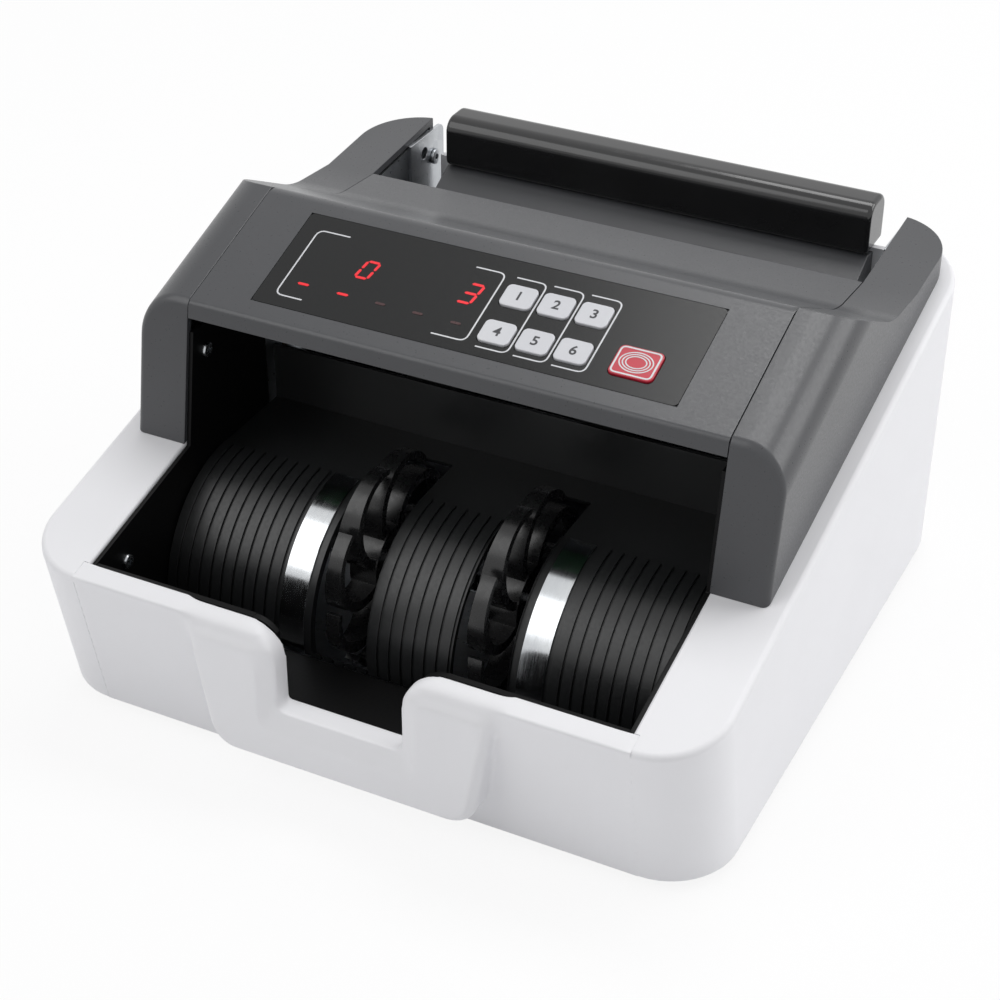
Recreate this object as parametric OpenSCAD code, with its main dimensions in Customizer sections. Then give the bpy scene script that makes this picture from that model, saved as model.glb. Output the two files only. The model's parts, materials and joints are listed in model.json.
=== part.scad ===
// Friction-feed banknote counter.
// Light base covers carry a dark hood with a keypad, a stacking pocket with two
// paddle wheels at the front and a hopper with a hinged back at the rear.
// Millimetres, +Z up, +Y to the rear, origin at the middle of the footprint.

/* [Base covers] */
// Width over the two side covers
cover_w = 228; // [222:1:236]
// Distance from the origin to the front rim
front_reach = 118; // [115:1:122]
// Distance from the origin to the rear face
rear_reach = 114; // [112:1:118]
// Height of the rubber feet under the covers
foot_h = 3; // [2:0.5:6]
// Radius of a rubber foot
foot_r = 8; // [5:0.5:10]
// Height of the rim at the front of the pocket
rim_z = 59; // [56:0.5:62]
// Depth of the front rim
rim_depth = 7; // [6:0.5:9]
// Angle at which the rim rises to the rear
rim_slope = 13; // [11:0.5:14]
// Angle at which the front face leans out
front_lean = 11.4; // [8:0.2:14]
// Thickness of the moulded covers
wall = 2.5; // [2:0.1:3]
// Radius of the front corners in plan
front_corner_r = 22; // [16:1:24]
// Radius of the rear corners in plan
rear_corner_r = 24; // [16:1:26]
// Space beside the pocket for the drive and a cover
drive_bay = 25.5; // [25.5:0.25:27]
// Distance of the front panel's seams from the pocket's walls
seam_set = 3.5; // [3:0.25:5.5]
// Gap at a seam between two covers
seam_gap = 0.2; // [0.1:0.05:0.4]
// Thickness of the bottom plate
floor_plate_t = 2; // [1:0.25:3]

/* [Front scoop] */
// Width of the raised scoop at the rim
scoop_top_w = 102; // [90:1:115]
// Width of the raised scoop at its lower edge
scoop_foot_w = 91; // [80:1:100]
// How far the scoop stands out at the rim
scoop_top_out = 3; // [2:0.25:5]
// How far the scoop stands out at its lower edge
scoop_foot_out = 11.8; // [8:0.2:13]
// Height of the scoop's lower edge above the table
scoop_foot_z = 11.5; // [9:0.5:14]
// Radius of the scoop's lower corners
scoop_corner_r = 10; // [7:0.5:13]
// Width of the slope round the scoop's front
scoop_edge = 2.5; // [1:0.5:4]
// Width of the finger notch
notch_w = 44; // [36:1:48]
// Height of the sill of the finger notch
notch_z = 31.5; // [29:0.5:35]
// How far the notch flares towards the front
notch_flare = 4.5; // [3:0.5:6]
// How deep the flare of the notch is
notch_dish = 2; // [1:0.5:3]

/* [Hood] */
// How far the hood stands back from the sides of the covers
hood_set = 6; // [4.5:0.5:8]
// Where the front of the hood meets the rim
hood_front_y = -57.4; // [-62:0.2:-54]
// Angle at which the pillars lean back
hood_lean = 10; // [6:0.5:12]
// Height of the underside of the front bar
bar_z = 113.7; // [112:0.1:116]
// Height of the front bar, up to the crease of the console
crease_rise = 5.3; // [4.3:0.1:8.3]
// Angle of the console
console_tilt = 18.3; // [16:0.1:20]
// Length of the console up its slope
console_l = 54.5; // [53:0.5:58]
// Angle of the fall behind the console
fall_angle = 26.8; // [24:0.2:29]
// Height of the valley behind the fall over the front bar's underside
valley_rise = 2; // [0.8:0.1:4.3]
// Distance of the hopper's front edge from the rear face
hopper_edge_set = 45.7; // [44:0.1:48]
// How far the hopper's front edge lies below the front bar's underside
hopper_edge_drop = 0.3; // [-0.8:0.1:1.2]
// Depth of the wall that falls from that edge into the hopper
hopper_lip = 15.4; // [10:0.2:18]
// Angle at which the flat tops beside the hopper rise to the rear
column_tilt = 4.4; // [3:0.1:5.5]
// Radius of the hood's shoulders
shoulder_r = 13.5; // [8:0.5:15]

/* [Keypad] */
// Width of the black overlay
overlay_w = 142; // [136:1:150]
// Depth of the black overlay up the slope
overlay_d = 40.4; // [40:0.2:42]
// Distance from the crease to the overlay
overlay_set = 7; // [6:0.5:8]
// Thickness of the overlay
overlay_t = 0.6; // [0.4:0.1:1]
// Width of a function key
key_w = 10.4; // [9:0.2:11.6]
// Depth of a function key
key_d = 9; // [8:0.2:11]
// Spacing of the function keys across the console
key_pitch = 12.5; // [12.3:0.1:13]
// Position across of the first column of function keys
key_x = 9; // [8.5:0.25:9.5]
// Height up the slope of the lower row of keys
key_low = 17.3; // [16:0.1:18]
// Height up the slope of the upper row of keys
key_high = 32.8; // [32:0.1:34]
// Width of the reset key
reset_w = 14.2; // [10:0.2:16]
// Depth of the reset key
reset_d = 11.8; // [9:0.2:13]
// Position across of the reset key
reset_x = 53.6; // [52.8:0.2:57]
// Height of a key above the overlay
key_rise = 0.7; // [0.7:0.1:1.5]
// Travel of a key
key_travel = 0.5; // [0.3:0.1:0.6]
// Clearance around a key
key_gap = 0.3; // [0.2:0.05:0.4]

/* [Pocket] */
// Thickness of the pocket's black linings
liner_t = 1.5; // [1:0.1:2]
// Height of the pocket floor
pocket_floor_z = 20; // [18:0.5:22]
// Radius of the curved stacking plate
stack_r = 38; // [37:0.5:39]
// Thickness of the curved stacking plate
stack_t = 2; // [1.5:0.1:2.5]
// Centre of that curve, front to rear
stack_y = -38; // [-39:0.5:-37]
// Centre of that curve above the table
stack_z = 24; // [22:0.5:26]
// Height of the baffle at the rear of the stacking plate
baffle_h = 20; // [16:0.5:21]
// Spacing of the ribs on the stacking plate
rib_pitch = 4.1; // [4:0.1:6]
// Width of the grooves between the ribs
groove_w = 0.8; // [0.5:0.1:1.5]
// Height of a rib
rib_h = 0.8; // [0.4:0.1:1.2]
// Width of a bright guide strip
strip_w = 9; // [6:0.5:10]
// Position across of the guide strips
strip_x = 41.5; // [40:0.5:50]

/* [Paddle wheels] */
// Radius of a paddle wheel
paddle_r = 35.5; // [33:0.5:35.5]
// Width of a paddle wheel
paddle_w = 8.5; // [7:0.5:11]
// Width of a paddle at its tip
paddle_tip_w = 4.5; // [3:0.5:6.5]
// Position across of the paddle wheels
paddle_x = 24.5; // [23:0.5:26]
// Width of the slots that the paddle wheels turn in
slot_w = 19.5; // [17:0.5:20.5]
// Number of paddles
paddle_count = 8; // [6:1:8]
// Axle of the paddle wheels, front to rear
paddle_y = -47.5; // [-49:0.5:-46]
// Axle of the paddle wheels above the table
paddle_z = 42.5; // [41.5:0.5:44]

/* [Rollers and drive] */
// Thickness of the steel side plates
plate_t = 1.5; // [1:0.1:2]
// Radius of the thicker shafts
shaft_r = 3; // [2.5:0.1:3.4]
// Running clearance of a shaft in its bush
run_gap = 0.05; // [0.02:0.01:0.09]
// Wall of a bush
bush_t = 2; // [1.5:0.1:2.5]
// Radius of the feed rollers
feed_r = 18; // [16:0.5:19]
// Radius of the pickup rollers
pickup_r = 12; // [10:0.5:12.5]
// Radius of the exit rollers
exit_r = 11; // [9:0.5:12]
// Radius of the pressure rollers over the exit rollers
pinch_r = 8.5; // [7:0.5:9]
// Radius of the braking rollers over the feed rollers
brake_r = 9; // [7:0.5:10]
// Gap left for a note between two rollers
nip_gap = 0.5; // [0.3:0.1:1]
// Height at which notes travel
path_z = 90; // [89:0.5:90.5]
// Position across of the rubber rollers
roller_x = 30; // [26:1:36]
// Width of the rubber rollers
roller_w = 18; // [12:1:20]
// Distance of the feed shaft from the rear face
feed_set = 68; // [67:0.5:69]
// Distance of the exit shaft from the rear face
exit_set = 106; // [105:0.5:108]
// Distance of the pickup shaft from the rear face
pickup_set = 34; // [33:0.5:35]
// Pickup shaft above the table
pickup_z = 80; // [79:0.5:80.5]
// Distance of the motor axis from the rear face
motor_set = 50; // [48:1:54]
// Motor axis above the table
motor_z = 34; // [30:1:36]
// Radius of the motor
motor_r = 18; // [14:1:20]
// Length of the motor
motor_l = 66; // [50:1:75]
// Radius of the feed pulley
feed_pulley_r = 14; // [11:0.5:15]
// Radius of the motor pulley
motor_pulley_r = 7; // [5:0.5:8]
// Radius of the paddle pulley
paddle_pulley_r = 18; // [14:0.5:18]
// Radius of the pickup pulley
pickup_pulley_r = 10; // [8:0.5:11]
// Radius of the exit pulley and of its driver
exit_pulley_r = 8; // [6:0.5:9]
// Width of a belt
belt_w = 3.4; // [2.5:0.1:3.6]
// Thickness of a belt
belt_t = 1.2; // [0.8:0.1:1.5]
// Clearance between a belt and its pulley
belt_gap = 0.3; // [0.2:0.05:0.4]

/* [Hopper back] */
// Distance of the hinged back from the pocket's walls
back_set = 2.5; // [1.5:0.5:5.5]
// Distance of the glossy bar's ends from the pocket's walls
bar_set = 8.3; // [3.5:0.1:13.5]
// Depth of the glossy bar
bar_d = 16.5; // [14:0.5:17]
// Height of the glossy bar
bar_h = 18; // [14:0.5:19]
// Radius of the glossy bar's edges
bar_r = 4; // [3:0.5:7]
// Height of the underside of the glossy bar
bar_low_z = 104; // [103:0.5:106]
// Hinge of the back above the table
hinge_z = 61; // [58:0.5:64]
// Radius of the hinge barrel
hinge_r = 4.5; // [3.5:0.1:5]
// Radius of the hinge pins
hinge_pin_r = 2; // [1.5:0.1:2.5]
// Angle of the sloping hopper plate
hopper_slope = 27; // [25:0.5:29]

/* [Rear panel] */
// Distance of the mains inlet from the end of the rear panel
inlet_set = 30; // [26:1:40]
// Position across of the power switch
switch_x = -24; // [-30:1:0]
// Height of the inlet and the switch
inlet_z = 31; // [28:1:34]

/* [Hidden] */
$fn = 48;
reach = 400;
half_w = cover_w / 2;
pocket_w = cover_w - 2 * drive_bay;
panel_half = pocket_w / 2 + seam_set;
hood_half = half_w - hood_set;
plate_x = pocket_w / 2 + liner_t;
plate_out = plate_x + plate_t;
pocket_front = front_reach - rim_depth;
front_rim_z = rim_z - rim_depth * tan(rim_slope);
console_half = plate_x - seam_gap;
ledge_w = 10;
front_lip = 9;
lip_step = 0.6;
rim_step = 2.5;
notch_wall = 4.3;
notch_back = 2.3;
panel_clear = 0.3;

// Height of the rim plane at a given place
function rim_at(y) = rim_z + (y + pocket_front) * tan(rim_slope);
// Front face of the covers at a given height
function front_at(z) = -front_reach + (front_rim_z - z) * tan(front_lean);
// Inner face of the front panel at a given height, with a clearance
function panel_in(z) = front_at(z) + wall / cos(front_lean) + panel_clear;
// Height at which that inner face passes a given place
function panel_bend(y) = front_rim_z - (y + front_reach - wall / cos(front_lean) - panel_clear) / tan(front_lean);
// Front face of the hood at a given height
function hood_at(z) = hood_front_y + (z - rim_at(hood_front_y)) * tan(hood_lean);

// Places that keep their distance from the rear face
hopper_edge_y = rear_reach - hopper_edge_set;
feed_y = rear_reach - feed_set;
exit_y = rear_reach - exit_set;
pickup_y = rear_reach - pickup_set;

// Side profile of the console
crease_z = bar_z + crease_rise;
valley_z = bar_z + valley_rise;
hopper_edge_z = bar_z - hopper_edge_drop;
bar_y = hood_at(bar_z);
crease_y = hood_at(crease_z);
crest_y = crease_y + console_l * cos(console_tilt);
crest_z = crease_z + console_l * sin(console_tilt);
valley_y = crest_y + (crest_z - valley_z) / tan(fall_angle);
shell_drop = 3.3;
function column_at(y) = hopper_edge_z + (y - hopper_edge_y) * tan(column_tilt);

// Keypad depths below the console's face
key_deep = 5.9;
key_corner = 1.3;
reset_corner = 1.6;
board_deep = 8;
board_t = 1.6;
switch_h = 1.4;
window_w = 64;
window_d = 15;
window_x = -32;
window_t = 28.5;
key_columns = [for (i = [0:2]) key_x + i * key_pitch];
reset_low = (key_low + key_high) / 2 - 6.5;
key_places = [
    for (t = [key_high, key_low]) for (x = key_columns) [x, t]
];

// Deck and baffle of the stacking plate
deck_z = stack_z + stack_r;
baffle_t = 1.5;
baffle_gap = 0.4;
baffle_y = exit_y - exit_r - baffle_gap - baffle_t;
paddle_clear = 1;

// Shafts
paddle_axle = [paddle_y, paddle_z];
feed_axle = [feed_y, path_z - feed_r];
exit_axle = [exit_y, path_z - 3 - exit_r];
pinch_axle = [exit_y, path_z - 3 + nip_gap + pinch_r];
brake_axle = [feed_y, path_z + nip_gap + brake_r];
pickup_axle = [pickup_y, pickup_z];
motor_axle = [rear_reach - motor_set, motor_z];
thin_r = 2.5;
bush_r = shaft_r + run_gap + bush_t;
thin_bush_r = thin_r + run_gap + bush_t;
press_gap = 0.02;
bush_l = 5;
guide_t = 1.5;
guide_z = path_z - 2;
collar = 0.6;

// Belt tracks outside the left side plate
track = belt_w + 2 * belt_gap;
track_pitch = track + collar;
track_x = plate_out + 2.2;
function track_at(i) = track_x + i * track_pitch;
shaft_end = track_at(3) + 0.8;
collar_rise = 1.6;
arc_steps = 24;

// Hinged back
back_half = pocket_w / 2 - back_set;
bar_half = pocket_w / 2 - bar_set;
back_t = 2.5;
hinge_y = rear_reach - hinge_r;
hinge = [hinge_y, hinge_z];
panel_top_z = hinge_z - hinge_r - 0.6;
bar_y0 = rear_reach - 10;
chute_t = 2;
chute_top = [bar_y0 + 2.5, bar_low_z - 0.4];
chute_l = 35.6;
chute_run = [cos(hopper_slope), sin(hopper_slope)];
chute_foot = chute_top - chute_l * chute_run;
guide_set = 7.5;
comb_w = roller_w + 4;
comb_l = 24;

// Boards and supply
board_x = plate_out + 5;
board_y1 = rear_reach - 18;
board_y0 = board_y1 - 120;
board_z0 = 12;
board_z1 = 52;
supply = [60, 44, 40];
supply_at = [6, paddle_y + paddle_r + 7, foot_h + floor_plate_t];
inlet_x = inlet_set - panel_half;
inlet_w = 27;
inlet_h = 20;
switch_w = 13;
switch_tall = 19;
rod_r = 4;
rod_places = [[-84, 11], [board_y1, 14], [feed_y - 26, 56], [feed_y - 20, 104]];

white = "gainsboro";
dark = "dimgray";
black = [0.1, 0.1, 0.11];
steel = "silver";

// Extrudes an outline in Y and Z along X, from x0 over the width w
module yz(x0, w) {
    translate([x0, 0, 0]) rotate([90, 0, 90]) linear_extrude(w) children();
}

// Draws children on both sides of the middle plane
module both_sides() {
    children();
    mirror([1, 0, 0]) children();
}

// Rectangle with rounded corners, centred
module rounded(w, d, r) {
    square([w - 2 * r, d], center = true);
    square([w, d - 2 * r], center = true);
    for (sx = [-1, 1]) for (sy = [-1, 1])
        translate([sx * (w / 2 - r), sy * (d / 2 - r)]) circle(r);
}

// Quarter plane up to x1 and y1 with its outer corner rounded
module corner_plan(x1, y1, r) {
    translate([0, y1 - reach]) square([x1 - r, reach]);
    translate([0, y1 - reach]) square([x1, reach - r]);
    translate([x1 - r, y1 - r]) circle(r, $fn = 96);
}

// Bar along X at a shaft's place
module shaft(axle, x0, x1, r) {
    translate([x0, axle[0], axle[1]]) rotate([0, 90, 0]) cylinder(h = x1 - x0, r = r);
}

// Ring along X at a shaft's place
module ring(axle, x0, x1, r, bore) {
    difference() {
        shaft(axle, x0, x1, r);
        shaft(axle, x0 - 1, x1 + 1, bore);
    }
}

// Space below the rim plane, lowered by a wall's thickness
module under_rim(drop) {
    translate([0, -pocket_front, rim_z]) rotate([rim_slope, 0, 0])
        translate([-reach, -reach, -reach - drop]) cube([2 * reach, 2 * reach, reach]);
}

// Space above the rim plane
module over_rim() {
    translate([0, -pocket_front, rim_z]) rotate([rim_slope, 0, 0])
        translate([-reach, -reach, 0]) cube([2 * reach, 2 * reach, reach]);
}

// Right half of the base block, inset by a wall's thickness
module base_block(inset) {
    intersection() {
        translate([0, 0, -10]) linear_extrude(reach)
            corner_plan(half_w - inset, rear_reach - inset, rear_corner_r - inset);
        translate([0, -front_reach, front_rim_z]) rotate([front_lean, 0, 0])
            translate([0, 0, -reach]) linear_extrude(2 * reach)
                mirror([0, 1]) corner_plan(half_w - inset, -inset, front_corner_r - inset);
        under_rim(inset);
    }
}

module base_plate() {
    plate_half = half_w - wall - 4;
    front = front_at(foot_h) + wall + 4;
    depth = rear_reach - wall - 2 - front;
    color(steel) difference() {
        translate([0, front + depth / 2, foot_h]) linear_extrude(floor_plate_t)
            rounded(2 * plate_half, depth, front_corner_r);
        for (sx = [-1, 1]) for (y = [-70, 70])
            translate([sx * 70, y, foot_h - 1]) cylinder(h = floor_plate_t + 2, r = 1.6);
        paddle_room();
    }
}

module rubber_feet() {
    inset = 34;
    color([0.12, 0.12, 0.12]) for (sx = [-1, 1]) for (y = [inset - pocket_front, rear_reach - inset])
        translate([sx * (half_w - inset), y, 0]) cylinder(h = foot_h, r = foot_r);
}

// Outline of a steel side plate
module plate_outline() {
    low = foot_h + floor_plate_t;
    tuck = wall + 0.8;
    front = panel_in(foot_h);
    polygon([
        [front, low], [rear_reach - 4, low],
        [rear_reach - 4, column_at(rear_reach) - tuck],
        [valley_y + 6, hopper_edge_z - tuck - 2], [bar_y + 8, bar_z - 6],
        [hood_front_y + 6, rim_at(hood_front_y + 6) - tuck],
        [front, rim_at(front) - tuck]
    ]);
    translate(hinge) circle(hinge_r);
}

module side_plate() {
    difference() {
        yz(plate_x, plate_t) plate_outline();
        for (a = [paddle_axle, feed_axle, pickup_axle, exit_axle])
            shaft(a, plate_x - 1, plate_out + 1, bush_r + press_gap);
        shaft(pinch_axle, plate_x - 1, plate_out + 1, thin_bush_r + press_gap);
        shaft(brake_axle, plate_x - 1, plate_out + 1, thin_r + press_gap);
        shaft(hinge, plate_x - 1, plate_out + 1, hinge_pin_r + run_gap);
        shaft([rear_reach - 10, column_at(rear_reach) - 10], plate_x - 1, plate_out + 1, 2.2);
        for (a = rod_places) shaft(a, plate_x - 1, plate_out + 1, 1.5);
    }
}

module left_side_plate() {
    color(steel) difference() {
        mirror([1, 0, 0]) side_plate();
        shaft(motor_axle, -plate_out - 1, -plate_x + 1, shaft_r + 2);
    }
}

module right_side_plate() {
    color(steel) side_plate();
}

module tie_rods() {
    color(steel) for (a = rod_places) shaft(a, -plate_x, plate_x, a[0] < 0 ? rod_r - 1 : rod_r);
}

// Raised scoop on the front panel, as a solid
module scoop_solid(inset) {
    top_r = 1;
    top = front_rim_z - rim_step;
    top_y = front_at(top) - scoop_top_out + inset;
    foot_y = front_at(scoop_foot_z) - scoop_foot_out + inset;
    back = front_at(foot_h) + wall;
    hull() for (sx = [-1, 1]) for (step = [0, scoop_edge]) {
        shrink = inset + scoop_edge - step;
        translate([sx * (scoop_top_w / 2 - shrink - top_r), top_y + step, top - shrink - top_r])
            rotate([-90, 0, 0]) cylinder(h = back - top_y - step, r = top_r, $fn = 32);
        translate([sx * (scoop_foot_w / 2 - scoop_corner_r), foot_y + step, scoop_foot_z + scoop_corner_r])
            rotate([-90, 0, 0]) cylinder(h = back - foot_y - step, r = scoop_corner_r - shrink, $fn = 64);
    }
}

// Section of the finger notch, grown at its sides and more at its sill, as a thin slice
module notch_slice(y, grow) {
    r = 4;
    slice = 0.1;
    sill_share = 1.5;
    for (sx = [-1, 1]) for (z = [notch_z + r - sill_share * grow, reach / 2])
        translate([sx * (notch_w / 2 + grow - r), y, z])
            rotate([-90, 0, 0]) cylinder(h = slice, r = r, $fn = 32);
}

// Space of the finger notch, which flares to the front and a little to the rear
module notch_space() {
    past = 1;
    front = -front_reach - scoop_top_out + rim_step * tan(front_lean);
    mouth = front + notch_dish;
    inner = mouth + notch_wall;
    hull() {
        notch_slice(front - past, notch_flare * (notch_dish + past) / notch_dish);
        notch_slice(mouth, 0);
    }
    hull() {
        notch_slice(mouth, 0);
        notch_slice(inner, 0);
    }
    hull() {
        notch_slice(inner, 0);
        notch_slice(past - pocket_front, notch_back);
    }
}

// Region of the front panel's own width that lies a depth or more behind its front face
module behind_front(depth) {
    low = foot_h - 1;
    high = rim_z - wall - lip_step;
    yz(-panel_half, 2 * panel_half) polygon([
        [front_at(low) + depth, low], [front_at(high) + depth, high], [0, high], [0, low]
    ]);
}

module front_panel() {
    half = panel_half - seam_gap;
    skin = wall / cos(front_lean);
    rim_low = rim_z - wall - lip_step;
    block_half = notch_w / 2 + notch_flare + wall;
    block_low = notch_z - 2 * notch_flare - wall;
    color(white) difference() {
        union() {
            yz(-half, 2 * half) polygon([
                [front_at(foot_h), foot_h], [-front_reach, front_rim_z], [-pocket_front, rim_z],
                [-pocket_front, rim_z - front_lip], [-pocket_front - wall, rim_z - front_lip],
                [-pocket_front - wall, rim_low], [front_at(rim_low) + skin, rim_low - lip_step],
                [front_at(foot_h) + skin, foot_h]
            ]);
            difference() {
                scoop_solid(0);
                behind_front(skin);
            }
            yz(-block_half, 2 * block_half) polygon([
                [front_at(block_low), block_low], [-front_reach, front_rim_z],
                [-pocket_front, rim_z], [-pocket_front, notch_z - notch_back - wall]
            ]);
        }
        difference() {
            scoop_solid(wall);
            behind_front(skin + lip_step);
            translate([-block_half, -reach, 0]) cube([2 * block_half, reach, reach]);
        }
        notch_space();
    }
}

// Right side cover with its half of the front and rear corners
module side_cover() {
    strip = plate_x - 1;
    low = foot_h - 1;
    difference() {
        intersection() {
            base_block(0);
            translate([plate_x, -reach, foot_h]) cube([reach, 2 * reach, reach]);
        }
        base_block(wall);
        yz(strip, panel_half - strip) polygon([
            [-reach, low], [panel_in(low), low], [-pocket_front, panel_bend(-pocket_front)],
            [-pocket_front, reach], [-reach, reach]
        ]);
        translate([strip, rear_reach - wall - 4, 0]) cube([panel_half - strip, reach, reach]);
        translate([strip, hood_front_y + wall + 1, 0])
            cube([half_w - ledge_w - strip, rear_reach - 6 - hood_front_y - wall - 1, reach]);
    }
}

module left_side_cover() {
    color(white) mirror([1, 0, 0]) side_cover();
}

module right_side_cover() {
    color(white) side_cover();
}

module rear_panel() {
    half = panel_half - seam_gap;
    vents = 7;
    color(white) difference() {
        translate([-half, rear_reach - wall, foot_h]) cube([2 * half, wall, panel_top_z - foot_h]);
        translate([inlet_x - inlet_w / 2, rear_reach - wall - 1, inlet_z - inlet_h / 2])
            cube([inlet_w, wall + 2, inlet_h]);
        translate([switch_x - switch_w / 2, rear_reach - wall - 1, inlet_z - switch_tall / 2])
            cube([switch_w, wall + 2, switch_tall]);
        for (i = [0:vents - 1]) translate([30 + 6 * i, rear_reach - wall - 1, 18])
            cube([2.4, wall + 2, 26]);
    }
}

// Rounded shoulder along a slope through a point of the side profile
module shoulder(y, z, tilt, inset) {
    w = hood_half - inset;
    r = shoulder_r - inset;
    translate([0, y, z]) rotate([tilt, 0, 0]) rotate([90, 0, 0]) linear_extrude(reach, center = true) {
        translate([0, -reach - inset]) square([w - r, reach]);
        translate([0, -reach - r - inset]) square([w, reach]);
        translate([w - r, -r - inset]) circle(r, $fn = 96);
    }
}

// Right cheek of the hood as a solid, inset by a wall's thickness
module cheek_block(inset) {
    lean = inset / cos(hood_lean);
    rise = 40;
    high = crest_z + rise * tan(fall_angle) - inset;
    rear = rear_reach + 10;
    intersection() {
        shoulder(crest_y, crest_z, console_tilt, inset);
        linear_extrude(reach)
            corner_plan(hood_half - inset, rear_reach - inset, rear_corner_r - 2 - inset);
        yz(0, reach) polygon([
            [hood_at(0) + lean, 0], [hood_at(high) + lean, high], [crest_y - rise, high],
            [valley_y, valley_z - inset], [hopper_edge_y, hopper_edge_z - inset],
            [rear, column_at(rear) - inset], [rear, 0]
        ]);
    }
}

module hood_cheek() {
    intersection() {
        difference() {
            cheek_block(0);
            cheek_block(wall);
        }
        over_rim();
        translate([plate_x, -reach, 0]) cube([reach, 2 * reach, reach]);
    }
}

module left_hood_cheek() {
    color(dark) mirror([1, 0, 0]) hood_cheek();
}

module right_hood_cheek() {
    color(dark) hood_cheek();
}

// Places children on the console, x across, y up the slope and z out of its face
module on_console() {
    translate([0, crease_y, crease_z]) rotate([console_tilt, 0, 0]) children();
}

// Openings for the keys, grown by a clearance, between two depths
module key_holes(gap, low, high) {
    for (k = key_places) translate([k[0], k[1], low]) linear_extrude(high - low)
        rounded(key_w + 2 * gap, key_d + 2 * gap, key_corner + gap);
    translate([reset_x, reset_low, low]) linear_extrude(high - low)
        rounded(reset_w + 2 * gap, reset_d + 2 * gap, reset_corner + gap);
}

module console_cover() {
    lip_lean = 1.8;
    color(dark) difference() {
        yz(-console_half, 2 * console_half) polygon([
            [bar_y, bar_z], [crease_y, crease_z], [crest_y, crest_z], [valley_y, valley_z],
            [hopper_edge_y, hopper_edge_z], [hopper_edge_y - lip_lean, hopper_edge_z - hopper_lip],
            [hopper_edge_y - lip_lean - wall, hopper_edge_z - hopper_lip],
            [hopper_edge_y - wall, hopper_edge_z - shell_drop + 0.4],
            [valley_y + 0.4, valley_z - shell_drop], [crest_y, crest_z - shell_drop],
            [crease_y + wall, crease_z + wall * tan(console_tilt) - shell_drop],
            [bar_y + wall, bar_z]
        ]);
        on_console() {
            translate([0, overlay_set + overlay_d / 2, -overlay_t]) linear_extrude(5)
                square([overlay_w + 2 * seam_gap, overlay_d + 2 * seam_gap], center = true);
            translate([window_x, window_t, -10]) linear_extrude(10)
                square([window_w, window_d], center = true);
            key_holes(key_gap, -10, 1);
        }
    }
}

module keypad_overlay() {
    color(black) on_console() difference() {
        translate([0, overlay_set + overlay_d / 2, -overlay_t]) linear_extrude(overlay_t)
            square([overlay_w, overlay_d], center = true);
        key_holes(key_gap, -5, 1);
    }
}

module function_key(i) {
    color("whitesmoke") on_console() translate([key_places[i][0], key_places[i][1], -key_deep])
        linear_extrude(key_deep + key_rise) rounded(key_w, key_d, key_corner);
}

module key_1() { function_key(0); }
module key_2() { function_key(1); }
module key_3() { function_key(2); }
module key_4() { function_key(3); }
module key_5() { function_key(4); }
module key_6() { function_key(5); }

module reset_key() {
    color("crimson") on_console() translate([reset_x, reset_low, -key_deep])
        linear_extrude(key_deep + key_rise) rounded(reset_w, reset_d, reset_corner);
}

module display_board() {
    post_r = 2.5;
    post_h = board_deep - shell_drop * cos(console_tilt) - 0.02;
    color("darkgreen") on_console() {
        translate([0, overlay_set + overlay_d / 2, -board_deep - board_t]) linear_extrude(board_t)
            square([overlay_w, overlay_d], center = true);
        for (sx = [-1, 1]) for (t = [overlay_set + 3, overlay_set + overlay_d - 3])
            translate([sx * (overlay_w / 2 - 3), t, -board_deep]) cylinder(h = post_h, r = post_r);
    }
}

module key_switches() {
    side = 6;
    places = concat(key_places, [[reset_x, reset_low]]);
    color("dimgray") on_console() for (k = places) translate([k[0] - side / 2, k[1] - side / 2, -board_deep])
        cube([side, side, switch_h]);
}

module digit_displays() {
    module_w = window_w / 2 - 2;
    color([0.25, 0.05, 0.05]) on_console() for (sx = [-1, 1])
        translate([window_x + sx * window_w / 4 - module_w / 2, window_t - window_d / 2 + 0.5, -board_deep])
            cube([module_w, window_d - 1, board_deep - overlay_t - 0.1]);
}

// Black lining of one pocket wall
module pocket_lining() {
    hood_tuck = 1.2;
    low = pocket_floor_z - 2;
    front = -pocket_front + 0.4;
    rear = exit_y - exit_r - 6;
    difference() {
        yz(pocket_w / 2, liner_t - press_gap) polygon([
            [panel_in(low), low], [rear, low], [rear, bar_z - 5],
            [hood_at(bar_z - 5) + hood_tuck, bar_z - 5],
            [hood_at(rim_at(hood_front_y)) + hood_tuck, rim_at(hood_front_y + hood_tuck) - 1],
            [front, rim_z - 1], [front, panel_bend(front)]
        ]);
        shaft(paddle_axle, 0, reach, bush_r + 1);
    }
}

module left_pocket_lining() {
    color(black) mirror([1, 0, 0]) pocket_lining();
}

module right_pocket_lining() {
    color(black) pocket_lining();
}

module pocket_tray() {
    half = pocket_w / 2 - 0.1;
    tray_t = 2;
    low = pocket_floor_z - tray_t;
    front = -pocket_front + 0.1;
    rear = stack_y - stack_r - 2.5;
    bend_z = panel_bend(front);
    color(black) difference() {
        yz(-half, 2 * half) polygon([
            [panel_in(low), low], [rear, low], [rear, pocket_floor_z],
            [panel_in(pocket_floor_z) + tray_t, pocket_floor_z], [front + tray_t, bend_z],
            [front + tray_t, rim_z - 1], [front, rim_z - 1], [front, bend_z]
        ]);
        translate([-notch_w / 2 - notch_back, -pocket_front - 1, notch_z - 2 * notch_back])
            cube([notch_w + 2 * notch_back, 6, reach]);
    }
}

// Room that the paddle wheels turn in
module paddle_room() {
    both_sides() shaft(paddle_axle, paddle_x - slot_w / 2, paddle_x + slot_w / 2, paddle_r + paddle_clear);
}

// Curve of the stacking plate between two radii, from the pocket floor up to the deck
module stack_curve(r0, r1) {
    intersection() {
        translate([stack_y, stack_z]) difference() {
            circle(r1, $fn = 128);
            circle(r0, $fn = 128);
        }
        translate([stack_y - reach, pocket_floor_z - 2]) square([reach, reach]);
    }
}

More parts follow.
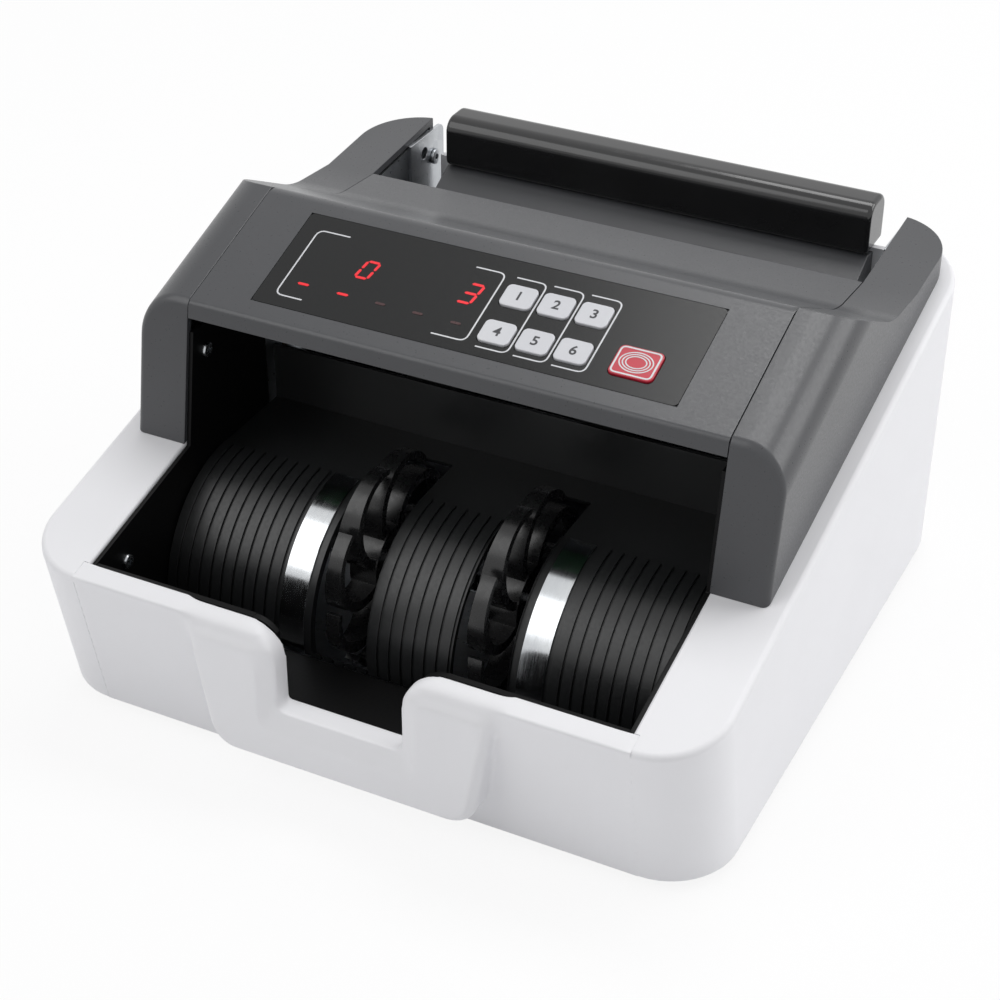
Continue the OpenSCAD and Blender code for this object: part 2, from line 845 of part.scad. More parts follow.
module stacking_plate() {
    half = pocket_w / 2 - 0.3;
    rib_w = rib_pitch - groove_w;
    ribs = floor((half - rib_w / 2) / rib_pitch);
    color(black) difference() {
        union() {
            yz(-half, 2 * half) {
                stack_curve(stack_r - stack_t, stack_r);
                polygon([
                    [stack_y - 2 * stack_t, deck_z - stack_t / 2], [stack_y, deck_z], [baffle_y, deck_z],
                    [baffle_y, deck_z + baffle_h], [baffle_y + baffle_t, deck_z + baffle_h],
                    [baffle_y + baffle_t, deck_z - stack_t], [stack_y, deck_z - stack_t]
                ]);
            }
            for (i = [-ribs:ribs]) if (abs(abs(i * rib_pitch) - strip_x) > (strip_w + rib_w + groove_w) / 2)
                yz(i * rib_pitch - rib_w / 2, rib_w) stack_curve(stack_r - stack_t / 2, stack_r + rib_h);
        }
        paddle_room();
    }
}

// Bright strip that lies on the stacking plate
module guide_strip() {
    strip_t = 0.6;
    color(steel) yz(strip_x - strip_w / 2, strip_w) stack_curve(stack_r + press_gap, stack_r + strip_t);
}

module left_guide_strip() {
    mirror([1, 0, 0]) guide_strip();
}

module right_guide_strip() {
    guide_strip();
}

module lining_screws() {
    head_r = 2.5;
    head_h = 1.2;
    set = 16;
    color(steel) both_sides() for (p = [[set - pocket_front, rim_z - 9], [hood_front_y + 14, bar_z - 14]])
        shaft(p, pocket_w / 2 - head_h, pocket_w / 2, head_r);
}

module paddle_shaft() {
    color(steel) shaft(paddle_axle, -track_at(2) - 0.4, plate_x + bush_l + 1, shaft_r);
}

// One curved paddle between a bow and a hollow, in shares of the wheel's radius
module paddle_outline() {
    bow = paddle_r * [0.522, 0.139];
    bow_r = paddle_r * 0.461;
    hollow = paddle_r * [0.528, 0.111];
    hollow_r = paddle_r * 0.397;
    intersection() {
        difference() {
            translate(bow) circle(bow_r, $fn = 96);
            translate(hollow) circle(hollow_r, $fn = 96);
        }
        polygon(paddle_r * [[1.11, -0.033], [-0.083, 0.3], [-0.083, 1.11], [1.11, 1.11]]);
    }
}

// Paddle wheel whose paddles narrow towards their tips, on a hub that stands out on both sides
module paddle_wheel(x) {
    tip_angle = 90;
    hub_r = 12;
    hub_out = 0.5;
    past = 1;
    left = x - paddle_w / 2;
    right = x + paddle_w / 2;
    taper = (paddle_w - paddle_tip_w) / (paddle_r - hub_r);
    color(black) difference() {
        union() {
            shaft(paddle_axle, left - hub_out, right + hub_out, hub_r);
            translate([0, paddle_y, paddle_z]) for (i = [0:paddle_count - 1])
                rotate([tip_angle + i * 360 / paddle_count, 0, 0]) intersection() {
                    yz(left, paddle_w) paddle_outline();
                    translate([0, 0, -reach / 2]) linear_extrude(reach) polygon([
                        [left - past, -hub_r], [left - past, hub_r - past / taper],
                        [right - paddle_tip_w + past * taper, paddle_r + past],
                        [right + past, paddle_r + past], [right + past, -hub_r]
                    ]);
                }
        }
        shaft(paddle_axle, left - past, right + past, shaft_r + press_gap);
    }
}

module left_paddle_wheel() {
    paddle_wheel(-paddle_x);
}

module right_paddle_wheel() {
    paddle_wheel(paddle_x);
}

// Pulley on tracks i0 to i1 of the left side, with collars beside each track
module track_pulley(axle, r, i0, i1, bore) {
    difference() {
        union() {
            shaft(axle, -track_at(i1 + 1), -track_at(i0) + collar, r);
            for (i = [i0:i1 + 1]) shaft(axle, -track_at(i), -track_at(i) + collar, r + collar_rise);
        }
        shaft(axle, -reach, reach, bore);
    }
}

module paddle_pulley() {
    color(black) track_pulley(paddle_axle, paddle_pulley_r, 1, 1, shaft_r + press_gap);
}

module shaft_bushes() {
    color("tan") both_sides() {
        for (a = [paddle_axle, feed_axle, pickup_axle, exit_axle])
            ring(a, plate_x + press_gap, plate_out + 1.6, bush_r, shaft_r + run_gap);
        ring(pinch_axle, plate_x + press_gap, plate_out + 1.6, thin_bush_r, thin_r + run_gap);
    }
}

module feed_shaft() {
    color(steel) shaft(feed_axle, -shaft_end, plate_out + 11, shaft_r);
}

// Pair of rubber rollers on a shaft
module roller_pair(axle, r, bore) {
    both_sides() ring(axle, roller_x - roller_w / 2, roller_x + roller_w / 2, r, bore);
}

module feed_rollers() {
    color([0.3, 0.3, 0.32]) roller_pair(feed_axle, feed_r, shaft_r + press_gap);
}

module feed_pulley() {
    color(black) track_pulley(feed_axle, feed_pulley_r, 0, 2, shaft_r + press_gap);
}

// Pulley of the exit drive, outside the right side plate
module exit_wheel(axle) {
    difference() {
        union() {
            shaft(axle, track_x - collar, track_x + track + collar, exit_pulley_r);
            for (x = [track_x - collar, track_x + track]) shaft(axle, x, x + collar, exit_pulley_r + collar_rise);
        }
        shaft(axle, 0, reach, shaft_r + press_gap);
    }
}

module exit_drive_pulley() {
    color(black) exit_wheel(feed_axle);
}

disc_x = track_x + track + 1.6;
disc_t = 0.8;

module encoder_disc() {
    slots = 12;
    disc_r = 14;
    color("dimgray") difference() {
        ring(feed_axle, disc_x, disc_x + disc_t, disc_r, shaft_r + press_gap);
        for (i = [0:slots - 1]) translate([disc_x - 1, feed_axle[0], feed_axle[1]])
            rotate([i * 360 / slots, 0, 0]) translate([0, 0, 11]) rotate([0, 90, 0]) cylinder(h = 3, r = 1);
    }
}

module encoder_sensor() {
    arm = 3;
    gap = 1.2;
    drop = 20;
    low = feed_axle[1] - drop;
    color(black) difference() {
        translate([plate_out, feed_y - 4, low]) cube([disc_x + disc_t + gap + arm - plate_out, 8, 10]);
        translate([disc_x - gap, feed_y - 5, low + 3]) cube([disc_t + 2 * gap, 10, 10]);
        translate([plate_out + 1.4, feed_y - 5, low + 3]) cube([disc_x - gap - arm - plate_out - 1.4, 10, 10]);
    }
}

module pickup_shaft() {
    color(steel) shaft(pickup_axle, -shaft_end, plate_x + bush_l + 1, shaft_r);
}

module pickup_rollers() {
    color([0.3, 0.3, 0.32]) roller_pair(pickup_axle, pickup_r, shaft_r + press_gap);
    color(black) track_pulley(pickup_axle, pickup_pulley_r, 2, 2, shaft_r + press_gap);
}

module exit_shaft() {
    color(steel) shaft(exit_axle, -plate_x - bush_l - 1, track_x + track + collar + 1, shaft_r);
}

module exit_rollers() {
    color([0.3, 0.3, 0.32]) roller_pair(exit_axle, exit_r, shaft_r + press_gap);
    color(black) exit_wheel(exit_axle);
}

module pinch_shaft() {
    color(steel) shaft(pinch_axle, -plate_x - bush_l, plate_x + bush_l, thin_r);
}

module pinch_rollers() {
    color(black) roller_pair(pinch_axle, pinch_r, thin_r + press_gap);
}

module brake_rollers() {
    color([0.3, 0.3, 0.32]) roller_pair(brake_axle, brake_r, thin_r - 0.5);
    color(steel) shaft(brake_axle, -plate_out, plate_out, thin_r - 0.5);
}

module note_guide() {
    half = plate_x;
    front = exit_y + exit_r + 3;
    rear = chute_foot[0] - guide_set;
    window = roller_w + 3;
    color(steel) difference() {
        translate([-half, front, guide_z - guide_t]) cube([2 * half, rear - front, guide_t]);
        both_sides() translate([roller_x - window / 2, feed_y - feed_r - 1, guide_z - guide_t - 1])
            cube([window, 2 * feed_r + 2, guide_t + 2]);
    }
}

module drive_motor() {
    flange_t = 3;
    color("dimgray") {
        shaft(motor_axle, -plate_x, -plate_x + flange_t, motor_r + 3);
        shaft(motor_axle, -plate_x + flange_t, -plate_x + flange_t + motor_l, motor_r);
    }
}

module motor_pulley() {
    color(black) track_pulley(motor_axle, motor_pulley_r, 0, 0, shaft_r - 1);
    color(steel) shaft(motor_axle, -track_at(1) - 1, -plate_x - 0.2, shaft_r - 1);
}

// Points of an arc in the Y and Z plane
function arc(centre, r, from, to) = [
    for (i = [0:arc_steps]) let (turn = from + (to - from) * i / arc_steps)
        centre + r * [cos(turn), sin(turn)]
];

// Outline of a belt's run round two pulleys, grown by a margin
module belt_outline(a, ra, b, rb, margin) {
    d = b - a;
    turn = atan2(d[1], d[0]);
    lean = acos((ra - rb) / norm(d));
    polygon(concat(
        arc(a, ra + margin, turn + lean, turn + 360 - lean),
        arc(b, rb + margin, turn - lean, turn + lean)
    ));
}

// Belt round two pulleys, centred on x
module belt(x, a, ra, b, rb) {
    yz(x - belt_w / 2, belt_w) difference() {
        belt_outline(a, ra, b, rb, belt_gap + belt_t);
        belt_outline(a, ra, b, rb, belt_gap);
    }
}

function track_mid(i) = -track_at(i) - track / 2;

module drive_belts() {
    color([0.16, 0.16, 0.16]) {
        belt(track_mid(0), feed_axle, feed_pulley_r, motor_axle, motor_pulley_r);
        belt(track_mid(1), feed_axle, feed_pulley_r, paddle_axle, paddle_pulley_r);
        belt(track_mid(2), feed_axle, feed_pulley_r, pickup_axle, pickup_pulley_r);
        belt(track_x + track / 2, feed_axle, exit_pulley_r, exit_axle, exit_pulley_r);
    }
}

module lamp_and_head() {
    lamp_r = 3;
    head = [18, 8];
    lamp = [(exit_y + exit_r + feed_y - feed_r) / 2, guide_z - guide_t - lamp_r - 2];
    color("lavender") shaft(lamp, -plate_x, plate_x, lamp_r);
    color("gold") translate([-head[0] / 2, rod_places[3][0] - head[1] / 2, path_z + nip_gap])
        cube([head[0], head[1], rod_places[3][1] - rod_r - path_z - nip_gap]);
}

module main_board() {
    chips = [[16, 6, 14, 5], [48, 8, 20, 8], [84, 4, 24, 10], [94, 28, 12, 9]];
    corner = [6, 5];
    post_r = 3;
    color("darkgreen") {
        translate([board_x, board_y0, board_z0])
            cube([board_t, board_y1 - board_y0, board_z1 - board_z0]);
        for (y = [board_y0 + corner[0], board_y1 - corner[0]])
            for (z = [board_z0 + corner[1], board_z1 - corner[1]])
                shaft([y, z], plate_out, board_x, post_r);
    }
    color(black) for (c = chips) translate([board_x + board_t, board_y0 + c[0], board_z0 + c[1]])
        cube([c[3] * 0.8, c[2], c[3]]);
}

module power_supply() {
    core = 8;
    color("dimgray") translate(supply_at) cube(supply);
    color("sienna") translate(supply_at + [core, -core / 2, core])
        cube([supply[0] - 2 * core, supply[1] + core, supply[2] - 2 * core]);
}

// Outline of the bar on top of the hopper's back
module bar_outline() {
    translate([bar_y0 + bar_d / 2, bar_low_z + bar_h / 2]) rounded(bar_d, bar_h, bar_r);
}

module back_door() {
    pin_out = plate_out + 0.5;
    color(white) {
        yz(-back_half, 2 * back_half) {
            translate([rear_reach - back_t, hinge_z]) square([back_t, bar_low_z - hinge_z - press_gap]);
            translate(hinge) circle(hinge_r);
        }
        both_sides() shaft(hinge, back_half - 1, pin_out, hinge_pin_r);
    }
}

module hopper_plate() {
    web_t = 2;
    web_y = rear_reach - back_t - press_gap;
    web_l = 14;
    under = chute_t * [chute_run[1], -chute_run[0]];
    web_top = chute_top + under / 2;
    web_foot = web_top - web_l * chute_run;
    color(black) difference() {
        union() {
            yz(-bar_half, 2 * bar_half) polygon([
                chute_top, chute_foot, chute_foot + under, chute_top + under
            ]);
            both_sides() yz(bar_half - web_t, web_t) polygon([
                web_top, web_foot, [web_y, hinge_z + web_l], [web_y, web_top[1]]
            ]);
        }
        both_sides() translate([roller_x - comb_w / 2, chute_foot[0] - 1, 0])
            cube([comb_w, 1 + comb_l * chute_run[0], reach]);
    }
}

module hopper_bar() {
    color([0.07, 0.07, 0.08]) yz(-bar_half, 2 * bar_half) bar_outline();
}

module mains_inlet() {
    frame = 2;
    lip = 1.5;
    deep = 20;
    mouth_w = inlet_w - 3;
    mouth_h = inlet_h - 4;
    pin = [2, 12, 4];
    pin_pitch = 7;
    pin_rise = 2;
    color(black) difference() {
        union() {
            translate([inlet_x - inlet_w / 2 - frame, rear_reach, inlet_z - inlet_h / 2 - frame])
                cube([inlet_w + 2 * frame, lip, inlet_h + 2 * frame]);
            translate([inlet_x - inlet_w / 2 + 0.1, rear_reach - deep, inlet_z - inlet_h / 2 + 0.1])
                cube([inlet_w - 0.2, deep + 0.5, inlet_h - 0.2]);
        }
        translate([inlet_x - mouth_w / 2, rear_reach + lip - deep + 3, inlet_z - mouth_h / 2])
            cube([mouth_w, deep, mouth_h]);
    }
    color(steel) for (i = [-1:1])
        translate([
            inlet_x + i * pin_pitch - pin[0] / 2, rear_reach + lip - deep + 2,
            inlet_z + (1 - 2 * abs(i)) * pin_rise - pin[2] / 2
        ]) cube(pin);
}

module power_switch() {
    rocker_y = rear_reach - 4;
    color(black) intersection() {
        shaft([rocker_y, inlet_z], switch_x - switch_w / 2 + 0.6, switch_x + switch_w / 2 - 0.6, switch_tall / 2 - 0.6);
        translate([-reach, rocker_y - 4, 0]) cube([2 * reach, 9, reach]);
    }
}

base_plate();
rubber_feet();
left_side_plate();
right_side_plate();
tie_rods();
front_panel();
left_side_cover();
right_side_cover();
rear_panel();
left_hood_cheek();
right_hood_cheek();
console_cover();
keypad_overlay();
key_1();
key_2();
key_3();
key_4();
key_5();
key_6();
reset_key();
display_board();
key_switches();
digit_displays();
left_pocket_lining();
right_pocket_lining();
pocket_tray();
stacking_plate();
left_guide_strip();
right_guide_strip();
lining_screws();
paddle_shaft();
left_paddle_wheel();
right_paddle_wheel();
paddle_pulley();
shaft_bushes();
feed_shaft();
feed_rollers();
feed_pulley();
exit_drive_pulley();
encoder_disc();
encoder_sensor();
pickup_shaft();
pickup_rollers();
exit_shaft();
exit_rollers();
pinch_shaft();
pinch_rollers();
brake_rollers();
note_guide();
drive_motor();
motor_pulley();
drive_belts();
lamp_and_head();
main_board();
power_supply();
back_door();
hopper_plate();
hopper_bar();
mains_inlet();
power_switch();
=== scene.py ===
"""Looks of a friction-feed banknote counter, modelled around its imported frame.

Sizes are millimetres in the frame's own axes: +X to the right, +Y to the rear and +Z up.
"""

import json
import logging
import math
from contextlib import contextmanager
from dataclasses import dataclass
from enum import Enum
from typing import Any, Callable, Iterator, Sequence

import bmesh
import bpy
from mathutils import Matrix, Vector


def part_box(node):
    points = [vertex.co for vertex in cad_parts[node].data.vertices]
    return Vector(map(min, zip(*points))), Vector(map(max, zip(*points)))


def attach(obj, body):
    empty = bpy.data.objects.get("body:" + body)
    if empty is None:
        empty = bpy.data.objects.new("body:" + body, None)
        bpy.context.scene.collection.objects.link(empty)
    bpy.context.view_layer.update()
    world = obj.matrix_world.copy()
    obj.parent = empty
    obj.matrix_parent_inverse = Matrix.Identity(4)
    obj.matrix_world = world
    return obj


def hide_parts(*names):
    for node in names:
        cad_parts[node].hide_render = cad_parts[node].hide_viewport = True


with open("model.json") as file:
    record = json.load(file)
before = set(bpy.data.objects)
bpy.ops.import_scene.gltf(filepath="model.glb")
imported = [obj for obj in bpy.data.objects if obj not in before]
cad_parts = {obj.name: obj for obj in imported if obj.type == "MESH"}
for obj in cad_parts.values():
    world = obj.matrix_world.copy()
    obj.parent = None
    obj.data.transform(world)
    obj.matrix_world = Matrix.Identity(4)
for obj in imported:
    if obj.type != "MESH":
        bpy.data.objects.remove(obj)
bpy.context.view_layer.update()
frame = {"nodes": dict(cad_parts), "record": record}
SLOT_OF = {part["node"]: part["material_slot"] for part in frame["record"]["subparts"]}
LOG = logging.getLogger("banknote_counter")
METRE = 1000.0
HOUSING = "housing"

# Limits by which an edge is picked: its distance from a line in millimetres, the cosine between it
# and the axis that it runs along, and the angle over it in degrees
NEAR = 0.3
ALONG = 0.9
HOLLOW = -8.0
RIDGE = 25.0
SHARP = 60.0

# Sockets of a Mix node that mixes two colours
FACTOR, FIRST, SECOND, MIXED = 0, 6, 7, 2

Piece = bpy.types.Object
Material = bpy.types.Material
Tree = bpy.types.NodeTree
Place = Sequence[float]
Point = tuple[float, float]


class Side(Enum):
    """Side of the machine, seen from the front."""

    LEFT = "left"
    RIGHT = "right"

    @property
    def sign(self) -> int:
        """Direction of this side along X."""
        return 1 if self is Side.RIGHT else -1


@dataclass(frozen=True)
class Spot:
    """Where an edge of a mesh lies.

    Attributes:
        at: Its middle in millimetres.
        way: Its direction.
        fold: Angle over it in degrees, below zero in a hollow.
    """

    at: Vector
    way: Vector
    fold: float

    def along(self, axis: str) -> bool:
        """Whether the edge runs along an axis, x, y or z."""
        return abs(getattr(self.way, axis)) > ALONG


Test = Callable[[Spot], bool]


# Profile of the machine, from the sizes of its solids


@dataclass(frozen=True)
class Profile:
    """Lines of the side view that several covers share."""

    rim_z: float = 59.0
    rim_y: float = -111.0
    rim_slope: float = 13.0
    hood_foot: Point = (-57.4, 71.4)
    hood_lean: float = 10.0
    crease: Point = (-49.0, 119.0)
    console_tilt: float = 18.3
    crest: Point = (2.74, 136.11)
    valley: Point = (43.2, 115.7)
    notch_half: float = 21.0
    notch_corner: float = 11.0

    def rim_at(self, y: float) -> float:
        """Height of the rim at a place along Y."""
        return self.rim_z + (y - self.rim_y) * math.tan(math.radians(self.rim_slope))

    def hood_at(self, z: float) -> float:
        """Front face of the hood at a height."""
        return self.hood_foot[0] + (z - self.hood_foot[1]) * math.tan(math.radians(self.hood_lean))

    def console(self) -> Matrix:
        """Matrix from the console's face, x across and y up its slope, to the frame."""
        place = Vector((0.0, *self.crease)) / METRE
        return Matrix.Translation(place) @ Matrix.Rotation(math.radians(self.console_tilt), 4, "X")


PROFILE = Profile()


# Modelling by hand


def deselect() -> None:
    """Leave edit mode and deselect every object."""
    if bpy.context.mode != "OBJECT":
        bpy.ops.object.mode_set(mode="OBJECT")
    bpy.ops.object.select_all(action="DESELECT")


def focus(piece: Piece) -> None:
    """Select one object alone and make it the active one."""
    deselect()
    piece.select_set(True)
    bpy.context.view_layer.objects.active = piece


@contextmanager
def editing(piece: Piece) -> Iterator[None]:
    """Hold an object in edit mode with nothing selected."""
    focus(piece)
    bpy.ops.object.mode_set(mode="EDIT")
    bpy.ops.mesh.select_all(action="DESELECT")
    yield
    bpy.ops.object.mode_set(mode="OBJECT")


def placed(name: str, data: Any) -> Piece:
    """Add an object with its mesh, curve, lamp or camera to the scene."""
    piece = bpy.data.objects.new(name, data)
    bpy.context.scene.collection.objects.link(piece)
    return piece


def named(name: str) -> Piece:
    """Name the object just added and put its place into its mesh."""
    piece = bpy.context.active_object
    piece.name = name
    piece.data.name = name
    bpy.ops.object.transform_apply(location=True, rotation=True, scale=True)
    return piece


def block(name: str, low: Place, high: Place) -> Piece:
    """Start a piece from a cube.

    Args:
        name: Name of the piece.
        low: Lowest corner in millimetres.
        high: Highest corner in millimetres.

    Returns:
        The new object, at the origin.
    """
    deselect()
    corners = Vector(low) / METRE, Vector(high) / METRE
    bpy.ops.mesh.primitive_cube_add(
        size=1.0, location=(corners[0] + corners[1]) / 2, scale=corners[1] - corners[0]
    )
    return named(name)


def rod(name: str, middle: Place, radius: float, length: float, axis: str = "X", sides: int = 48) -> Piece:
    """Start a piece from a cylinder.

    Args:
        name: Name of the piece.
        middle: Middle in millimetres.
        radius: Radius in millimetres.
        length: Length in millimetres.
        axis: Axis along which it lies.
        sides: Number of faces round it.

    Returns:
        The new object, at the origin.
    """
    turns = {"X": (0.0, math.pi / 2, 0.0), "Y": (math.pi / 2, 0.0, 0.0), "Z": (0.0, 0.0, 0.0)}
    deselect()
    bpy.ops.mesh.primitive_cylinder_add(
        vertices=sides, radius=radius / METRE, depth=length / METRE,
        location=Vector(middle) / METRE, rotation=turns[axis],
    )
    return named(name)


def merged_copy(node: str, whole: bool = True) -> Piece:
    """Copy a node of the frame as a clean mesh.

    Args:
        node: Name of the node in the frame.
        whole: Whether flat faces are made whole; a face with many holes stays in triangles.

    Returns:
        The copy, which nothing rides yet.
    """
    source = frame["nodes"][node]
    piece = placed(f"{node}_shell", source.data.copy())
    piece.data.name = piece.name
    piece.data.materials.clear()
    focus(piece)
    if piece.data.has_custom_normals:
        bpy.ops.mesh.customdata_custom_splitnormals_clear()
    with editing(piece):
        bpy.ops.mesh.select_all(action="SELECT")
        bpy.ops.mesh.remove_doubles(threshold=2e-6)
        if whole:
            bpy.ops.mesh.dissolve_limited(angle_limit=math.radians(0.4))
    return piece


def pick_edges(piece: Piece, test: Test) -> int:
    """Select the edges that pass a test, and the faces they enclose, in edit mode.

    Args:
        piece: Object in edit mode.
        test: Takes an edge's spot and says whether it is wanted.

    Returns:
        Number of edges selected.
    """
    bpy.ops.mesh.select_mode(type="EDGE")
    shape = bmesh.from_edit_mesh(piece.data)
    count = 0
    for edge in shape.edges:
        start, end = (v.co for v in edge.verts)
        fold = math.degrees(edge.calc_face_angle_signed(0.0)) if edge.is_manifold else 0.0
        wanted = test(Spot((start + end) * METRE / 2, (end - start).normalized(), fold))
        edge.select_set(wanted)
        count += wanted
    shape.select_flush_mode()
    bmesh.update_edit_mesh(piece.data)
    return count


def round_edges(piece: Piece, test: Test, offset: float, segments: int = 4) -> Piece:
    """Round the edges that pass a test.

    Args:
        piece: Object to shape.
        test: Says which edges are rounded.
        offset: Distance from the edge at which the rounding starts, in millimetres.
        segments: Number of faces across the rounding.

    Returns:
        The same object.
    """
    with editing(piece):
        if pick_edges(piece, test):
            bpy.ops.mesh.bevel(
                offset=offset / METRE, offset_type="OFFSET", segments=segments, profile=0.5,
                affect="EDGES", clamp_overlap=False, loop_slide=True,
            )
        else:
            LOG.warning("%s has no such edge to round", piece.name)
    return piece


def modify(piece: Piece, kind: str, **settings: Any) -> Piece:
    """Add a modifier and apply it.

    Args:
        piece: Object to shape.
        kind: Blender's name of the modifier.
        **settings: Values of the modifier.

    Returns:
        The same object.
    """
    focus(piece)
    modifier = piece.modifiers.new(kind.lower(), kind)
    for key, value in settings.items():
        setattr(modifier, key, value)
    bpy.ops.object.modifier_apply(modifier=modifier.name)
    return piece


def ease_edges(piece: Piece, width: float, segments: int = 2, angle: float = 40.0) -> Piece:
    """Break every edge that is still sharp by a small rounding, in millimetres."""
    return modify(
        piece, "BEVEL", width=width / METRE, segments=segments, limit_method="ANGLE",
        angle_limit=math.radians(angle), use_clamp_overlap=True, miter_outer="MITER_ARC",
    )


def carve(piece: Piece, tool: Piece) -> Piece:
    """Cut one object with another and remove the tool."""
    modify(piece, "BOOLEAN", operation="DIFFERENCE", object=tool, solver="EXACT")
    bpy.data.objects.remove(tool)
    return piece


def join(pieces: Sequence[Piece]) -> Piece:
    """Join objects into the first of them."""
    deselect()
    for piece in pieces:
        piece.select_set(True)
    bpy.context.view_layer.objects.active = pieces[0]
    bpy.ops.object.join()
    return pieces[0]


def smooth(piece: Piece, angle: float = 34.0) -> Piece:
    """Shade a piece smoothly up to an angle, with the wide faces leading."""
    focus(piece)
    bpy.ops.object.shade_smooth_by_angle(angle=math.radians(angle))
    return modify(piece, "WEIGHTED_NORMAL", mode="FACE_AREA", weight=60, keep_sharp=True)


def on_console(piece: Piece) -> Piece:
    """Move a piece from the axes of the console's face to the frame."""
    piece.data.transform(PROFILE.console())
    return piece


# Materials


def linear(colour: str) -> tuple[float, float, float, float]:
    """Turn an sRGB hex value into linear light."""
    parts = [int(colour[i:i + 2], 16) / 255 for i in (1, 3, 5)]
    low = [p / 12.92 if p <= 0.04045 else ((p + 0.055) / 1.055) ** 2.4 for p in parts]
    return low[0], low[1], low[2], 1.0


def add_node(tree: Tree, kind: str, settings: dict[str, Any], inputs: dict[Any, Any]) -> Any:
    """Add a node with its settings and its inputs.

    Args:
        tree: Node tree of the material.
        kind: Blender's name of the node.
        settings: Properties of the node.
        inputs: Values or output sockets for its inputs, by name or number.

    Returns:
        The new node.
    """
    node = tree.nodes.new(kind)
    for key, value in settings.items():
        setattr(node, key, value)
    for key, value in inputs.items():
        if isinstance(value, bpy.types.NodeSocket):
            tree.links.new(value, node.inputs[key])
        else:
            node.inputs[key].default_value = value
    return node


@dataclass(frozen=True)
class Finish:
    """A moulded or worked surface with clouds of tone and a fine grain.

    Attributes:
        name: What the surface is.
        colour: Main colour.
        shade: Colour of the clouds.
        rough: Mean roughness.
        spread: How far the roughness wanders.
        metallic: One for a metal.
        ior: Index of refraction.
        coat: Weight of a clear gloss over it.
        cloud: Size of the clouds of tone in millimetres.
        grain: Size of the grain in millimetres.
        depth: Depth of the grain in millimetres.
        stretch: How much longer the grain is along each axis.
    """

    name: str
    colour: str
    shade: str
    rough: float
    spread: float = 0.05
    metallic: float = 0.0
    ior: float = 1.5
    coat: float = 0.0
    cloud: float = 45.0
    grain: float = 1.1
    depth: float = 0.012
    stretch: tuple[float, float, float] = (1.0, 1.0, 1.0)

    def place(self, tree: Tree) -> Any:
        """Coordinates of the piece, stretched along the grain."""
        where = add_node(tree, "ShaderNodeTexCoord", {}, {})
        scale = tuple(1.0 / s for s in self.stretch)
        return add_node(tree, "ShaderNodeMapping", {}, {"Vector": where.outputs["Object"], "Scale": scale})

    def tone(self, tree: Tree, place: Any) -> Any:
        """Socket of the surface's colour."""
        clouds = add_node(
            tree, "ShaderNodeTexNoise", {},
            {"Vector": place.outputs[0], "Scale": METRE / self.cloud, "Detail": 3.0},
        )
        part = add_node(
            tree, "ShaderNodeMapRange", {}, {"Value": clouds.outputs[0], "From Min": 0.36, "From Max": 0.64}
        )
        mix = add_node(
            tree, "ShaderNodeMix", {"data_type": "RGBA"},
            {FACTOR: part.outputs[0], FIRST: linear(self.colour), SECOND: linear(self.shade)},
        )
        return mix.outputs[MIXED]

    def relief(self, tree: Tree, place: Any) -> Any:
        """Node whose first output is the height of the grain, from 0 to 1."""
        return add_node(
            tree, "ShaderNodeTexNoise", {},
            {"Vector": place.outputs[0], "Scale": METRE / self.grain, "Detail": 2.0, "Roughness": 0.6},
        )

    def glow(self, shader: Any) -> None:
        """Set the light that the surface gives off; plain surfaces give none."""

    def material(self) -> Material:
        """Make the material, or give the one already made."""
        known = bpy.data.materials.get(self.name)
        if known is not None:
            return known
        material = bpy.data.materials.new(self.name)
        material.use_nodes = True
        tree = material.node_tree
        shader = tree.nodes["Principled BSDF"]
        shader.inputs["Metallic"].default_value = self.metallic
        shader.inputs["IOR"].default_value = self.ior
        shader.inputs["Coat Weight"].default_value = self.coat
        shader.inputs["Coat Roughness"].default_value = 0.06
        place = self.place(tree)
        height = self.relief(tree, place)
        bump = add_node(
            tree, "ShaderNodeBump", {},
            {"Height": height.outputs[0], "Strength": 0.7, "Distance": self.depth / METRE},
        )
        gloss = add_node(
            tree, "ShaderNodeMapRange", {},
            {"Value": height.outputs[0], "From Min": 0.3, "From Max": 0.7,
             "To Min": self.rough - self.spread, "To Max": self.rough + self.spread},
        )
        tree.links.new(self.tone(tree, place), shader.inputs["Base Color"])
        tree.links.new(gloss.outputs[0], shader.inputs["Roughness"])
        tree.links.new(bump.outputs[0], shader.inputs["Normal"])
        self.glow(shader)
        return material


@dataclass(frozen=True)
class Spangled(Finish):
    """Zinc-plated sheet, whose crystals show as faint patches."""

    def tone(self, tree: Tree, place: Any) -> Any:
        """Socket of a colour that changes from crystal to crystal."""
        crystals = add_node(
            tree, "ShaderNodeTexVoronoi", {}, {"Vector": place.outputs[0], "Scale": METRE / self.cloud}
        )
        mix = add_node(
            tree, "ShaderNodeMix", {"data_type": "RGBA"},
            {FACTOR: crystals.outputs["Color"], FIRST: linear(self.colour), SECOND: linear(self.shade)},
        )
        return mix.outputs[MIXED]


@dataclass(frozen=True)
class Tracks(Finish):
    """Solder mask over copper tracks, which show as paler bands."""

    def tone(self, tree: Tree, place: Any) -> Any:
        """Socket of a colour with tracks in it."""
        bands = add_node(
            tree, "ShaderNodeTexBrick", {"offset": 0.5},
            {"Vector": place.outputs[0], "Scale": METRE / self.cloud, "Color1": linear(self.colour),
             "Color2": linear(self.colour), "Mortar": linear(self.shade), "Mortar Size": 0.035},
        )
        return bands.outputs[0]


@dataclass(frozen=True)
class Lit(Finish):
    """Cast red window of a light that is on."""

    light: float = 3.0

    def glow(self, shader: Any) -> None:
        """Let the surface shine in its own colour."""
        shader.inputs["Emission Color"].default_value = linear(self.colour)
        shader.inputs["Emission Strength"].default_value = self.light


